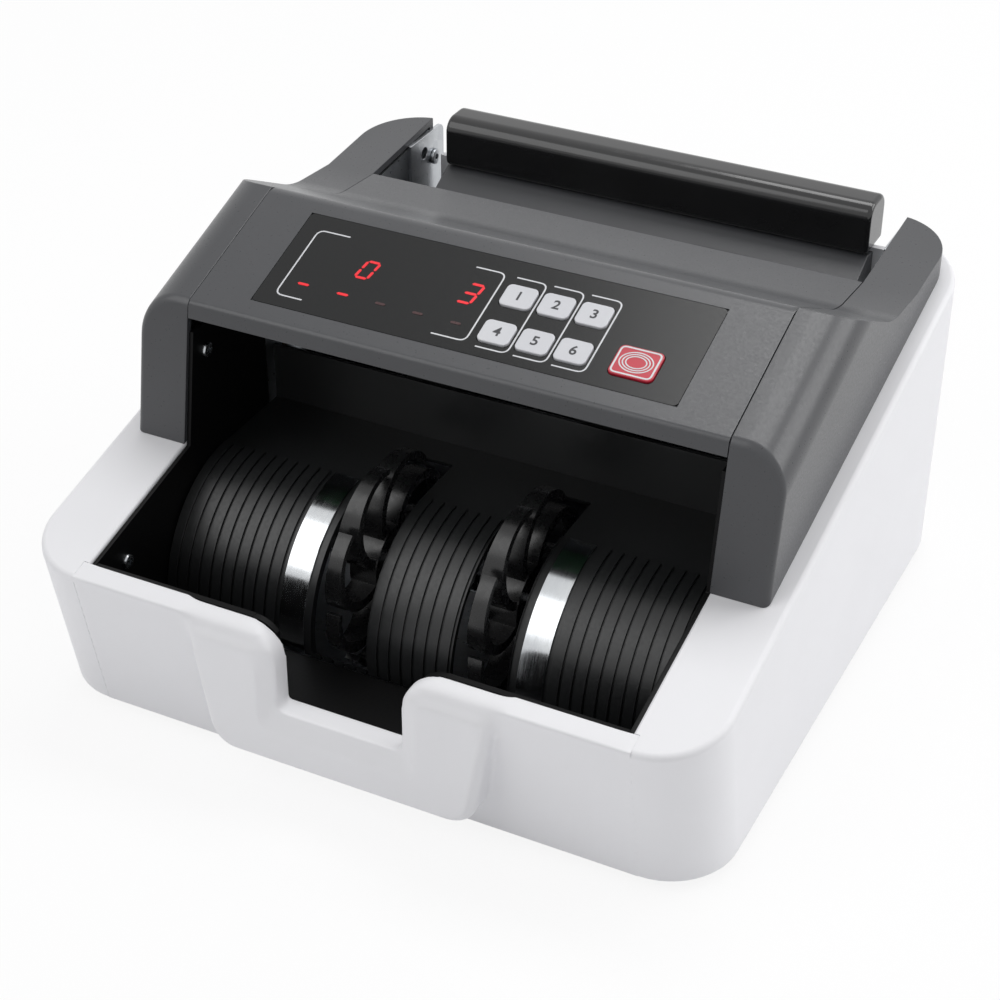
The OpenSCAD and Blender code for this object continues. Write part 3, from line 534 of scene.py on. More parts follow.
# ABS, injection moulded and lightly spark-eroded: a soft satin sheen. The grain of the
# mould is finer than a pixel here, so it is drawn coarser to show at all.
WHITE_ABS = Finish("white_abs_satin", "#ececef", "#eaeaed", 0.48, 0.04, grain=1.2, depth=0.004)
GREY_ABS = Finish("grey_abs_spark_eroded", "#434447", "#3f4043", 0.33, 0.06, grain=0.9, depth=0.010)
BLACK_ABS = Finish("black_abs_satin", "#232425", "#1d1e1f", 0.36, 0.06, grain=1.0, depth=0.010)
# A darker copy of the black ABS for the pocket's linings and tray: painted shade for the shade under the
# hood. Its low index of refraction dims its reflections as well.
SHADED_BLACK_ABS = Finish("black_abs_painted_shade", "#060607", "#050506", 0.5, 0.05, ior=1.25, grain=1.0, depth=0.010)
CHUTE_ABS = Finish("dark_abs_satin", "#47484b", "#424346", 0.36, 0.06, grain=1.0, depth=0.010)
# ABS from a polished mould: a clear mirror line along each rounding.
GLOSS_ABS = Finish("black_abs_polished", "#262627", "#212122", 0.14, 0.03, coat=0.1, grain=6.0, depth=0.004)
# Polycarbonate film, printed on its back: even colour under a smooth front. The inks are flat and dry.
FILM = Finish("printed_film", "#0e0f10", "#0c0d0e", 0.24, 0.03, ior=1.36, grain=0.7, depth=0.004)
PRINT_WHITE = Finish("white_ink", "#d9dadd", "#cfd0d4", 0.45, 0.05, grain=0.5, depth=0.002)
PRINT_DARK = Finish("dark_ink", "#303135", "#2a2b2f", 0.5, 0.05, grain=0.5, depth=0.002)
# Keys moulded from coloured ABS: the covers' sheen, a little finer.
KEY_GREY = Finish("light_key_abs", "#cfd0d4", "#c8c9ce", 0.38, 0.05, grain=0.9, depth=0.006)
KEY_RED = Finish("red_key_abs", "#bd2439", "#b01f33", 0.36, 0.05, grain=0.9, depth=0.006)
# Cast red epoxy: deep and glossy, and bright where a light behind it is on.
LED_ON = Lit("red_led_lit", "#dc1a28", "#d01622", 0.3, 0.04, grain=0.6, depth=0.002, light=0.4)
LED_OFF = Finish("red_led_dark", "#3a1416", "#331013", 0.3, 0.04, grain=0.6, depth=0.002)
EPOXY = Finish("red_display_epoxy", "#4a1416", "#401012", 0.3, 0.05, grain=0.8, depth=0.003)
# Steel sheet, zinc plated: grey with small crystals that catch the light differently.
ZINC = Spangled("zinc_plated_steel", "#bfc2c5", "#b1b4b8", 0.32, 0.05, metallic=1.0, cloud=4.0,
                grain=2.0, depth=0.002)
# Stainless strip, rolled bright: fine lines along the way the notes run.
BRIGHT = Finish("rolled_stainless", "#d4d6d8", "#c6c9cc", 0.16, 0.05, metallic=1.0, cloud=12.0,
                grain=0.5, depth=0.003, stretch=(1.0, 12.0, 12.0))
# Shaft steel, ground: bright, with fine lines along the shaft.
SHAFT = Finish("ground_shaft_steel", "#b9bcbf", "#a5a8ac", 0.24, 0.05, metallic=1.0, cloud=9.0,
               grain=0.4, depth=0.003, stretch=(8.0, 1.0, 1.0))
# Rubber: dull where it is ground, with a soft shine where it comes from a mould.
RUBBER = Finish("ground_rubber", "#242526", "#1d1e1f", 0.72, 0.08, grain=0.8, depth=0.05)
ELASTOMER = Finish("moulded_elastomer", "#1a1a1b", "#161617", 0.28, 0.06, grain=2.2, depth=0.01)
# Sintered bronze is dull gold, lacquer dark under a clear gloss, solder mask green over paler
# copper tracks, and frosted glass a smooth white.
BRONZE = Finish("sintered_bronze", "#9a7040", "#7d5a33", 0.42, 0.08, metallic=1.0, cloud=2.0, grain=0.6)
LACQUER = Finish("dark_lacquer", "#34353a", "#2c2d31", 0.34, 0.06, coat=0.2, grain=1.5, depth=0.02)
BOARD = Tracks("solder_mask", "#1f5a35", "#3f7c4c", 0.32, 0.05, cloud=9.0, grain=0.8, depth=0.01)
GLASS = Finish("frosted_lamp_glass", "#e8ebf0", "#dfe3ea", 0.28, 0.04, coat=0.3, grain=1.5, depth=0.004)

SLOT_FINISH: dict[str, Finish] = {
    "cover_white": WHITE_ABS, "hood_grey": GREY_ABS, "black_plastic": BLACK_ABS, "bar_black": GLOSS_ABS,
    "overlay_black": FILM, "key_grey": KEY_GREY, "key_red": KEY_RED, "display_red": EPOXY,
    "board_green": BOARD, "steel": ZINC, "bright_steel": BRIGHT, "rubber": RUBBER,
    "black_rubber": ELASTOMER, "bronze": BRONZE, "motor_paint": LACQUER, "lamp_white": GLASS,
}


def body_of(node: str) -> str:
    """Name of the body that a node of the frame belongs to."""
    bodies = frame["record"]["behaviour"]["bodies"]
    return next(body for body, members in bodies.items() if node in members)


def dress(piece: Piece, finish: Finish, body: str = HOUSING) -> Piece:
    """Give a piece its finish and its body.

    Args:
        piece: Finished mesh.
        finish: Surface of the piece.
        body: Body that the piece rides.

    Returns:
        The same object.
    """
    piece.data.materials.clear()
    piece.data.materials.append(finish.material())
    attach(piece, body)
    LOG.info("%s: %d faces on %s", piece.name, len(piece.data.polygons), body)
    return piece


def stand_in(piece: Piece, finish: Finish, node: str) -> Piece:
    """Dress a piece that replaces a node, with the node's own body, and hide the node.

    Args:
        piece: Finished mesh.
        finish: Surface of the piece.
        node: Node of the frame that it replaces.

    Returns:
        The same object.
    """
    dress(piece, finish, body_of(node))
    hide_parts(node)
    return piece


def eased(
    node: str, finish: Finish, width: float, segments: int = 2, angle: float = 40.0, whole: bool = True
) -> Piece:
    """Replace a node by a copy of it whose sharp edges are broken, by a width in millimetres."""
    piece = ease_edges(merged_copy(node, whole), width, segments, angle)
    return stand_in(smooth(piece), finish, node)


def ramp(value: float, reach: float) -> float:
    """Share that climbs from 0 to 1 over a reach."""
    return min(max(value / reach, 0.0), 1.0)


def corner_tool(side: Side, clear: float = 0.0) -> Piece:
    """Tool that rounds one upper corner of the finger notch.

    Args:
        side: Side of the notch.
        clear: How far behind the rounding of the front panel it cuts, in millimetres.

    Returns:
        A bar along Y whose section is a square corner less a quarter round.
    """
    low_y, high_y = -130.0, -100.0
    inward, above, over = 3.0, 6.0, 2.0
    middle = side.sign * (PROFILE.notch_half + PROFILE.notch_corner)
    low_z = PROFILE.rim_z - PROFILE.notch_corner
    low_x, high_x = sorted((side.sign * (PROFILE.notch_half - inward), middle))
    tool = block("corner_tool", (low_x, low_y, low_z), (high_x, high_y, PROFILE.rim_z + above))
    core = rod(
        "corner_core", (middle, (low_y + high_y) / 2, low_z),
        PROFILE.notch_corner - clear, high_y - low_y + over, "Y", 64,
    )
    return carve(tool, core)


# Sub-assemblies


@dataclass
class BaseCovers:
    """White covers of the base: sides, front panel with its scoop, rear panel and feet."""

    seam_x: float = 92.0
    pocket_x: float = 90.0
    ledge_x: float = 104.0
    ledge_y: float = 108.0
    ledge_flat: float = 1.6
    foot_z: float = 3.0
    corner_y: Point = (-95.0, 109.0)
    rim_round: float = 2.0
    foot_round: float = 1.0
    foot_r: float = 8.0
    foot_ease: float = 0.5
    sole_rim: float = 2.2
    sole_step: float = 0.6
    sole_dish: float = 0.8
    pocket_round: float = 1.0
    rear_ease: float = 0.3
    seam_ease: float = 0.15
    seam_gap: float = 0.04
    voxel: float = 0.7
    seam_clear: float = 1.2
    seam_fade: float = 5.0
    foot_clear: float = 0.6
    foot_fade: float = 4.0
    blend_passes: int = 5
    notch_deep: Point = (-118.2, -111.2)
    notch_sill: float = 31.6
    notch_fade: float = 4.0
    fill: float = 5.0
    fill_drop: float = 2.0
    scoop_half: float = 51.0
    melt_z: float = 46.0
    melt_fade: float = 3.0
    melt_passes: int = 70

    def side_cover(self, side: Side) -> Piece:
        """Side cover with a soft rim."""
        node = f"{side.value}_side_cover"
        piece = merged_copy(node)

        def on_rim(spot: Spot) -> bool:
            """Whether an edge lies on the sloping rim."""
            return abs(spot.at.z - PROFILE.rim_at(spot.at.y)) < NEAR and spot.fold > RIDGE

        def outer_rim(spot: Spot) -> bool:
            """Whether it lies on the outer side of the rim."""
            across = abs(spot.at.x)
            front_y, rear_y = self.corner_y
            far = across > self.ledge_x + NEAR or spot.at.y < front_y or spot.at.y > rear_y
            return on_rim(spot) and across > self.seam_x + NEAR and far

        def pocket_rim(spot: Spot) -> bool:
            """Whether it lies beside the pocket."""
            inner = abs(abs(spot.at.x) - self.pocket_x) < NEAR
            return on_rim(spot) and inner and spot.at.y < PROFILE.hood_foot[0]

        def ledge_corner(spot: Spot) -> bool:
            """Whether it stands in the rear corner of the ledge."""
            aside = math.hypot(abs(spot.at.x) - self.ledge_x, spot.at.y - self.ledge_y)
            return aside < NEAR and spot.along("z")

        def foot(spot: Spot) -> bool:
            """Whether it lies along the foot, outside the seam."""
            low = abs(spot.at.z - self.foot_z) < NEAR
            return low and spot.fold > SHARP and abs(spot.at.x) > self.seam_x

        round_edges(piece, ledge_corner, self.ledge_flat, segments=1)
        round_edges(piece, outer_rim, self.rim_round, segments=6)
        round_edges(piece, pocket_rim, self.pocket_round, segments=3)
        round_edges(piece, foot, self.foot_round, segments=3)
        ease_edges(piece, self.seam_ease)
        return stand_in(smooth(piece), WHITE_ABS, node)

    def front_panel(self) -> Piece:
        """Front panel whose scoop and notch melt into it as on a moulding."""
        piece = merged_copy("front_panel")
        inner, outer = PROFILE.notch_half, PROFILE.notch_half + self.fill
        low_y, high_y = self.notch_deep
        low_z, high_z = self.notch_sill - self.fill, PROFILE.rim_z - self.fill_drop
        fills = [block("notch_sill", (-outer, low_y, low_z), (outer, high_y, self.notch_sill))]
        for side in Side:
            carve(piece, corner_tool(side))
            low_x, high_x = sorted((side.sign * inner, side.sign * outer))
            wall = block("notch_wall", (low_x, low_y, low_z), (high_x, high_y, high_z))
            fills.append(carve(wall, corner_tool(side)))
        piece = join([piece, *fills])
        modify(piece, "REMESH", mode="VOXEL", voxel_size=self.voxel / METRE, adaptivity=0.0)
        end = self.seam_x - self.seam_gap
        for vertex in piece.data.vertices:
            if abs(vertex.co.x) * METRE > end - self.voxel:
                vertex.co.x = math.copysign(end / METRE, vertex.co.x)

        def all_over(at: Vector) -> float:
            """Share of the panel away from its seams and its foot."""
            inside = self.seam_x - self.seam_clear - abs(at.x)
            above = at.z - self.foot_z - self.foot_clear
            return ramp(inside, self.seam_fade) * ramp(above, self.foot_fade)

        def scoop_top(at: Vector) -> float:
            """Share of the scoop's upper part beside the notch."""
            beside = ramp(abs(at.x) - PROFILE.notch_half, self.notch_fade)
            within = ramp(self.scoop_half + self.melt_fade - abs(at.x), self.melt_fade)
            return beside * within * ramp(at.z - self.melt_z, self.melt_fade)

        self.soften(piece, "soft", all_over, self.blend_passes)
        self.soften(piece, "melt", scoop_top, self.melt_passes)
        return stand_in(smooth(piece, angle=60.0), WHITE_ABS, "front_panel")

    def soften(self, piece: Piece, name: str, share: Callable[[Vector], float], passes: int) -> None:
        """Smooth a part of a mesh.

        Args:
            piece: Mesh to smooth.
            name: Name of the part.
            share: How much a point takes part, from 0 to 1, by its place in millimetres.
            passes: Number of passes.
        """
        group = piece.vertex_groups.new(name=name)
        for vertex in piece.data.vertices:
            group.add([vertex.index], share(vertex.co * METRE), "REPLACE")
        modify(piece, "SMOOTH", factor=0.5, iterations=passes, vertex_group=name)

    def feet(self) -> Piece:
        """Rubber feet with a dished sole."""
        low, high = (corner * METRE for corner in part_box("rubber_feet"))
        pads = []
        for x in (low.x + self.foot_r, high.x - self.foot_r):
            for y in (low.y + self.foot_r, high.y - self.foot_r):
                middle = (x, y, self.foot_z / 2)
                pad = rod("rubber_feet_pads", middle, self.foot_r, self.foot_z, "Z", sides=40)
                with editing(pad):
                    pick_edges(pad, lambda s: s.at.z < NEAR)
                    bpy.ops.mesh.inset(thickness=self.sole_rim / METRE, depth=0.0)
                    bpy.ops.mesh.inset(thickness=self.sole_step / METRE, depth=-self.sole_dish / METRE)
                pads.append(ease_edges(pad, self.foot_ease))
        return stand_in(smooth(join(pads)), RUBBER, "rubber_feet")

    def build(self) -> None:
        """Build all covers of the base."""
        for side in Side:
            self.side_cover(side)
        self.front_panel()
        eased("rear_panel", WHITE_ABS, self.rear_ease, whole=False)
        self.feet()


@dataclass
class Hood:
    """Dark hood: two cheeks and the console between them."""

    seam_x: float = 90.0
    front_round: float = 2.2
    crease_round: float = 1.2
    crest_round: float = 2.6
    valley_reach: float = 6.0
    seam_ease: float = 0.35
    end_clear: float = 1.0
    bent: float = 30.0

    def at_point(self, spot: Spot, point: Point) -> bool:
        """Whether a spot lies on a line along X through a point of the side view."""
        return math.hypot(spot.at.y - point[0], spot.at.z - point[1]) < NEAR

    def on_front(self, spot: Spot) -> bool:
        """Whether a spot lies on the leaning front of the hood."""
        return abs(spot.at.y - PROFILE.hood_at(spot.at.z)) < NEAR

    def ease_valley(self, piece: Piece) -> Piece:
        """Round the hollow between the console and the rear of the hood."""
        return round_edges(
            piece, lambda s: self.at_point(s, PROFILE.valley) and s.fold < HOLLOW,
            self.valley_reach, segments=6,
        )

    def cheek(self, side: Side) -> Piece:
        """Cheek with its rounded shoulder."""
        node = f"{side.value}_hood_cheek"
        piece = self.ease_valley(merged_copy(node))
        inner, foot = self.seam_x + NEAR, PROFILE.hood_foot[1] + self.end_clear
        round_edges(
            piece,
            lambda s: self.on_front(s) and s.fold > RIDGE and abs(s.at.x) > inner and s.at.z > foot,
            self.front_round,
        )
        ease_edges(piece, self.seam_ease, angle=self.bent)
        return stand_in(smooth(piece), GREY_ABS, node)

    def console(self) -> Piece:
        """Console cover with its creases softened."""
        piece = self.ease_valley(merged_copy("console_cover"))
        outer = self.seam_x - self.end_clear
        for point, offset in ((PROFILE.crease, self.crease_round), (PROFILE.crest, self.crest_round)):
            round_edges(
                piece, lambda s: self.at_point(s, point) and s.fold > RIDGE and abs(s.at.x) < outer, offset
            )
        ease_edges(piece, self.seam_ease, angle=self.bent)
        return stand_in(smooth(piece), GREY_ABS, "console_cover")

    def build(self) -> None:
        """Build the hood."""
        for side in Side:
            self.cheek(side)
        self.console()


@dataclass
class Keypad:
    """Printed film on the console with its keys, marks and lights."""

    half_w: float = 71.0
    low: float = 7.0
    high: float = 47.4
    film_t: float = 0.6
    film_ease: float = 0.12
    film_cut: float = 2.0
    corner: float = 1.5
    key: Point = (10.4, 9.0)
    key_corner: float = 1.8
    key_soft: float = 0.3
    key_columns: tuple[float, ...] = (9.0, 21.5, 34.0)
    key_rows: tuple[float, ...] = (32.8, 17.3)
    key_deep: float = 5.9
    key_rise: float = 0.7
    key_gap: float = 0.3
    reset: Point = (53.6, 18.55)
    reset_size: Point = (14.2, 11.8)
    line: float = 0.52
    bend_r: float = 2.6
    display_brackets: tuple[tuple[Point, ...], ...] = (
        ((-53.7, 41.0), (-65.0, 41.0), (-65.0, 11.6), (-55.4, 11.6)),
        ((-9.3, 41.0), (1.0, 41.0), (1.0, 11.4), (-10.4, 11.4)),
    )
    bracket_out: float = 6.2
    bracket_reach: float = 10.4
    bracket_rows: Point = (40.6, 10.6)
    ink: float = 0.05
    mark_size: float = 5.0
    mark_bold: float = 0.09
    digits: tuple[tuple[str, float, float, float, float], ...] = (
        ("0", -41.5, 29.5, 5.2, 8.2), ("3", -6.0, 30.0, 5.4, 9.0),
    )
    bar_w: float = 0.95
    bar_gap: float = 0.35
    bar_tip: float = 0.02
    slant: float = 10.0
    frame_in: float = 0.75
    frame_bend: float = 1.6
    frame_line: float = 0.6
    rings: tuple[Point, ...] = ((5.2, 3.9), (4.2, 3.1), (3.2, 2.3))
    ring_line: float = 0.42
    on_half: float = 2.2
    off_half: float = 2.0
    lights_on: tuple[Point, ...] = ((-58.2, 17.9), (-44.2, 17.7))
    lights_off: tuple[Point, ...] = ((-31.0, 17.6), (-18.0, 17.5), (-5.0, 17.4))

    def keys(self) -> list[tuple[str, float, float, float, float]]:
        """Node, place and size of every key."""
        places = [(x, t) for t in self.key_rows for x in self.key_columns]
        found = [(f"key_{i}", x, t, *self.key) for i, (x, t) in enumerate(places, start=1)]
        found.append(("reset_key", *self.reset, *self.reset_size))
        return found

    def film(self) -> Piece:
        """Printed film with rounded corners and openings for the keys."""
        piece = block("keypad_film", (-self.half_w, self.low, -self.film_t), (self.half_w, self.high, 0.0))
        round_edges(piece, lambda s: s.along("z"), self.corner, segments=6)
        for _, x, t, w, d in self.keys():
            wide, deep = w / 2 + self.key_gap, d / 2 + self.key_gap
            low, high = (x - wide, t - deep, -self.film_cut), (x + wide, t + deep, self.film_cut)
            tool = block("key_tool", low, high)
            round_edges(tool, lambda s: s.along("z"), self.key_corner + self.key_gap)
            carve(piece, tool)
        ease_edges(piece, self.film_ease, segments=1)
        return stand_in(smooth(on_console(piece)), FILM, "keypad_overlay")

    def key_cap(self, node: str, x: float, t: float, w: float, d: float) -> Piece:
        """Key with soft edges and a flat top.

        Args:
            node: Node that the key replaces.
            x: Place across.
            t: Place up the slope.
            w: Width.
            d: Depth.

        Returns:
            The finished key.
        """
        low, high = (x - w / 2, t - d / 2, -self.key_deep), (x + w / 2, t + d / 2, self.key_rise)
        piece = block(f"{node}_cap", low, high)
        round_edges(piece, lambda s: s.along("z"), self.key_corner, segments=5)
        top = self.key_rise - NEAR
        round_edges(piece, lambda s: s.at.z > top and s.fold > SHARP, self.key_soft, segments=3)
        return stand_in(smooth(on_console(piece)), KEY_RED if node == "reset_key" else KEY_GREY, node)

    def stroke(self, name: str, points: Sequence[Point], height: float, width: float) -> Piece:
        """Printed line through points of the console's face.

        Args:
            name: Name of the piece.
            points: Places across and up the slope.
            height: Height over the film on which it lies.
            width: Width of the line.

        Returns:
            A flat mesh, still in the console's own axes.
        """
        line = bpy.data.curves.new(name, "CURVE")
        line.dimensions = "3D"
        line.bevel_depth = width / 2 / METRE
        line.bevel_resolution = 1
        line.use_fill_caps = True
        spline = line.splines.new("POLY")
        spline.points.add(len(points) - 1)
        for point, (x, t) in zip(spline.points, points):
            point.co = (x / METRE, t / METRE, 0.0, 1.0)
        focus(placed(name, line))
        bpy.ops.object.convert(target="MESH")
        piece = bpy.context.active_object
        flat = Matrix.Diagonal((1.0, 1.0, 2 * self.ink / width, 1.0))
        piece.data.transform(Matrix.Translation((0.0, 0.0, height / METRE)) @ flat)
        return piece

    def bend(self, corners: Sequence[Point], radius: float) -> list[Point]:
        """Round the inner corners of a line.

        Args:
            corners: Corners of the line.
            radius: Distance from a corner at which the rounding starts.

        Returns:
            Points of the rounded line.
        """
        steps = 5
        points = [corners[0]]
        for before, corner, after in zip(corners, corners[1:], corners[2:]):
            middle = Vector(corner)
            start = middle + (Vector(before) - middle).normalized() * radius
            end = middle + (Vector(after) - middle).normalized() * radius
            for i in range(steps + 1):
                part = i / steps
                spot = start.lerp(middle, part).lerp(middle.lerp(end, part), part)
                points.append((spot.x, spot.y))
        points.append(corners[-1])
        return points

    def brackets(self) -> Piece:
        """White brackets round the display and beside each column of keys."""
        lines = list(self.display_brackets)
        high, low = self.bracket_rows
        for x in self.key_columns:
            right = x + self.bracket_out
            left = right - self.bracket_reach
            lines.append(((left, high), (right, high), (right, low), (left, low)))
        bent = [self.bend(line, self.bend_r) for line in lines]
        pieces = [self.stroke("keypad_brackets", points, self.ink, self.line) for points in bent]
        return dress(smooth(on_console(join(pieces))), PRINT_WHITE)

    def segment(self, name: str, start: Point, end: Point) -> Piece:
        """One bar of a figure, pointed at both ends.

        Args:
            name: Name of the piece.
            start: First end, across and up.
            end: Other end.

        Returns:
            A thin bar in the console's own axes.
        """
        width = self.bar_w
        way = Vector(end) - Vector(start)
        middle = (Vector(start) + Vector(end)) / 2
        length = way.length - self.bar_gap
        piece = block(name, (-length / 2, -width / 2, 0.0), (length / 2, width / 2, 2 * self.ink))
        round_edges(piece, lambda s: s.along("z"), width / 2 - self.bar_tip, segments=1)
        turn = Matrix.Rotation(math.atan2(way.y, way.x), 4, "Z")
        piece.data.transform(Matrix.Translation((middle.x / METRE, middle.y / METRE, 0.0)) @ turn)
        return piece

    def figures(self) -> Piece:
        """Lit seven-bar figures of the two displays."""
        bars = {
            "a": ((0, 2), (1, 2)), "b": ((1, 2), (1, 1)), "c": ((1, 1), (1, 0)), "d": ((0, 0), (1, 0)),
            "e": ((0, 1), (0, 0)), "f": ((0, 2), (0, 1)), "g": ((0, 1), (1, 1)),
        }
        shown = {"0": "abcdef", "3": "abcdg"}
        slant = math.tan(math.radians(self.slant))
        pieces = []
        for digit, x, t, w, h in self.digits:
            wide, tall = w - self.bar_w, (h - self.bar_w) / 2
            for bar in shown[digit]:
                ends = []
                for across, up in bars[bar]:
                    level = (up - 1) * tall
                    ends.append((x + (across - 0.5) * wide + level * slant, t + level))
                pieces.append(self.segment("display_figures", ends[0], ends[1]))
        pieces += self.dashes("display_figures", self.lights_on, self.on_half)
        return dress(smooth(on_console(join(pieces))), LED_ON)

    def dashes(self, name: str, places: Sequence[Point], half: float) -> list[Piece]:
        """One level bar at each place, of half a length."""
        return [self.segment(name, (x - half, t), (x + half, t)) for x, t in places]

    def dark_lights(self) -> Piece:
        """Indicators that are off."""
        pieces = self.dashes("dark_indicators", self.lights_off, self.off_half)
        return dress(smooth(on_console(join(pieces))), LED_OFF)

    def key_marks(self) -> None:
        """Plain numbers on the light keys."""
        for i, (node, x, t, _, _) in enumerate(self.keys()[:-1], start=1):
            deselect()
            bpy.ops.object.text_add()
            label = bpy.context.active_object
            label.data.body = str(i)
            label.data.size = self.mark_size / METRE
            label.data.align_x = "CENTER"
            label.data.align_y = "CENTER"
            label.data.extrude = self.ink / METRE
            label.data.offset = self.mark_bold / METRE
            bpy.ops.object.convert(target="MESH")
            mark = bpy.context.active_object
            mark.name = f"{node}_mark"
            mark.data.transform(Matrix.Translation((x / METRE, t / METRE, self.key_rise / METRE)))
            dress(on_console(mark), PRINT_DARK, body_of(node))

    def reset_marks(self) -> Piece:
        """White outline and rings on the reset key."""
        x, t = self.reset
        w, d = self.reset_size
        over = self.key_rise + self.ink
        left, right = x - w / 2 + self.frame_in, x + w / 2 - self.frame_in
        low, high = t - d / 2 + self.frame_in, t + d / 2 - self.frame_in
        corners = [(x, low), (left, low), (left, high), (right, high), (right, low), (x, low)]
        outline = self.bend(corners, self.frame_bend)
        pieces = [self.stroke("reset_key_marks", outline, over, self.frame_line)]
        turns = 48
        for wide, tall in self.rings:
            ring = [
                (x + wide * math.cos(i * math.tau / turns), t + tall * math.sin(i * math.tau / turns))
                for i in range(turns + 1)
            ]
            pieces.append(self.stroke("reset_key_marks", ring, over, self.ring_line))
        return dress(smooth(on_console(join(pieces))), PRINT_WHITE, body_of("reset_key"))

    def build(self) -> None:
        """Build the keypad."""
        self.film()
        for key in self.keys():
            self.key_cap(*key)
        self.brackets()
        self.figures()
        self.dark_lights()
        self.key_marks()
        self.reset_marks()


@dataclass
class Pocket:
    """Black stacking pocket with its ribbed plate, bright strips and screws."""

    wall_x: float = 88.5
    screw_r: float = 2.5
    screw_h: float = 1.2
    screw_soft: float = 0.7
    recess: Point = (0.5, 3.0)
    recess_deep: float = 0.7
    ease: float = 0.3
    plate_ease: float = 0.2
    strip_ease: float = 0.12
    bent: float = 50.0
    corner_clear: float = 1.2

    def tray(self) -> Piece:
        """Tray, cut back behind the corners of the notch."""
        piece = merged_copy("pocket_tray")
        for side in Side:
            carve(piece, corner_tool(side, self.corner_clear))
        # The tray takes the darkened copy of black ABS, which is painted shade.
        return stand_in(smooth(ease_edges(piece, self.ease)), SHADED_BLACK_ABS, "pocket_tray")

    def screws(self) -> Piece:
        """Pan-head screws with a cross recess."""
        low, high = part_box("lining_screws")
        places = [
            (low.y * METRE + self.screw_r, low.z * METRE + self.screw_r),
            (high.y * METRE - self.screw_r, high.z * METRE - self.screw_r),
        ]
        pieces = []
        for side in Side:
            face = side.sign * (self.wall_x - self.screw_h)
            for y, z in places:
                middle = (side.sign * (self.wall_x - self.screw_h / 2), y, z)
                head = rod("lining_screws_heads", middle, self.screw_r, self.screw_h, "X", sides=32)
                round_edges(
                    head, lambda s: abs(s.at.x - face) < NEAR and s.fold > SHARP,
                    self.screw_soft, segments=3,
                )
                for wide, tall in (self.recess, self.recess[::-1]):
                    near = (face - self.recess_deep, y - wide / 2, z - tall / 2)
                    far = (face + self.recess_deep, y + wide / 2, z + tall / 2)
                    carve(head, block("recess_tool", near, far))
                pieces.append(head)
        return stand_in(smooth(join(pieces)), SHAFT, "lining_screws")

    def build(self) -> None:
        """Build the pocket."""
        for side in Side:
            # The linings take the darkened copy of black ABS, which is painted shade under the hood.
            eased(f"{side.value}_pocket_lining", SHADED_BLACK_ABS, self.ease)
        self.tray()
        eased("stacking_plate", BLACK_ABS, self.plate_ease, angle=self.bent)
        for side in Side:
            eased(f"{side.value}_guide_strip", BRIGHT, self.strip_ease, segments=1, angle=self.bent)
        self.screws()


@dataclass
class PaddleWheels:
    """Two soft paddle wheels that stack the notes."""

    edge: float = 0.7
    bent: float = 50.0

    def build(self) -> None:
        """Round the paddles of both wheels."""
        for side in Side:
            eased(f"{side.value}_paddle_wheel", ELASTOMER, self.edge, segments=3, angle=self.bent)


@dataclass
class Hopper:
    """Hinged back of the hopper with its glossy bar and sloping plate."""

    bar_round: float = 5.5
    bar_foot: float = 1.9
    bar_end: float = 1.6
    ease: float = 0.4
    bent: float = 45.0
    ear_x: float = 90.0
    ear_round: float = 3.0
    ear_ease: float = 0.15
    ear_t: float = 1.4
    ear_y: Point = (94.0, 119.0)
    ear_z: Point = (84.0, 113.4)
    ear_hole: tuple[float, float, float] = (104.0, 106.9, 2.2)
    boss: tuple[float, float, float] = (111.0, 103.0, 2.9)
    boss_out: float = 1.4
    boss_hole: float = 1.1
    boss_ease: float = 0.4
    drill: float = 8.0

    def bar(self) -> Piece:
        """Glossy bar with full roundings along it."""
        low, high = (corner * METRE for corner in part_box("hopper_bar"))
        piece = block("hopper_bar_gloss", low, high)
        middle = (low.z + high.z) / 2
        round_edges(piece, lambda s: s.along("x") and s.at.z > middle, self.bar_round, segments=10)
        round_edges(
            piece, lambda s: s.along("x") and s.at.z < middle and s.fold > SHARP, self.bar_foot, segments=3
        )
        round_edges(
            piece, lambda s: min(s.at.x - low.x, high.x - s.at.x) < NEAR and s.fold > SHARP, self.bar_end
        )
        return stand_in(smooth(piece), GLOSS_ABS, "hopper_bar")

    def ear(self, side: Side) -> Piece:
        """Zinc ear on the side plate, which ends beside the bar and carries a bored boss."""
        def span(start: float, out: float) -> list[float]:
            """Lower and upper end of a stretch along X, inwards from a place."""
            return sorted((side.sign * start, side.sign * (start - out)))

        low_x, high_x = span(self.ear_x, self.ear_t)
        (low_y, high_y), (low_z, high_z) = self.ear_y, self.ear_z
        piece = block(f"{side.value}_hopper_ear", (low_x, low_y, low_z), (high_x, high_y, high_z))
        round_edges(piece, lambda s: s.along("x") and s.at.y > self.boss[0], self.ear_round, segments=6)
        y, z, radius = self.ear_hole
        carve(piece, rod("hole_tool", (side.sign * self.ear_x, y, z), radius, self.drill, "X", sides=32))
        y, z, radius = self.boss
        low_x, high_x = span(self.ear_x - self.ear_t, self.boss_out)
        ring = rod("boss_ring", ((low_x + high_x) / 2, y, z), radius, self.boss_out, "X", sides=40)
        piece = join([piece, ease_edges(ring, self.boss_ease, segments=3)])
        place = (side.sign * self.ear_x, y, z)
        carve(piece, rod("bore_tool", place, self.boss_hole, self.drill, "X", sides=32))
        return dress(smooth(ease_edges(piece, self.ear_ease, segments=1)), ZINC)

    def build(self) -> None:
        """Build the hopper."""
        self.bar()
        for node, finish in (("back_door", WHITE_ABS), ("hopper_plate", CHUTE_ABS)):
            eased(node, finish, self.ease, angle=self.bent)
        for side in Side:
            self.ear(side)


@dataclass
class RearFittings:
    """Mains inlet and power switch."""

    ease: float = 0.4
    bent: float = 45.0

    def build(self) -> None:
        """Soften the inlet and the rocker."""
        for node, finish in (("mains_inlet", BLACK_ABS), ("power_switch", GLOSS_ABS)):
            eased(node, finish, self.ease, angle=self.bent, whole=False)


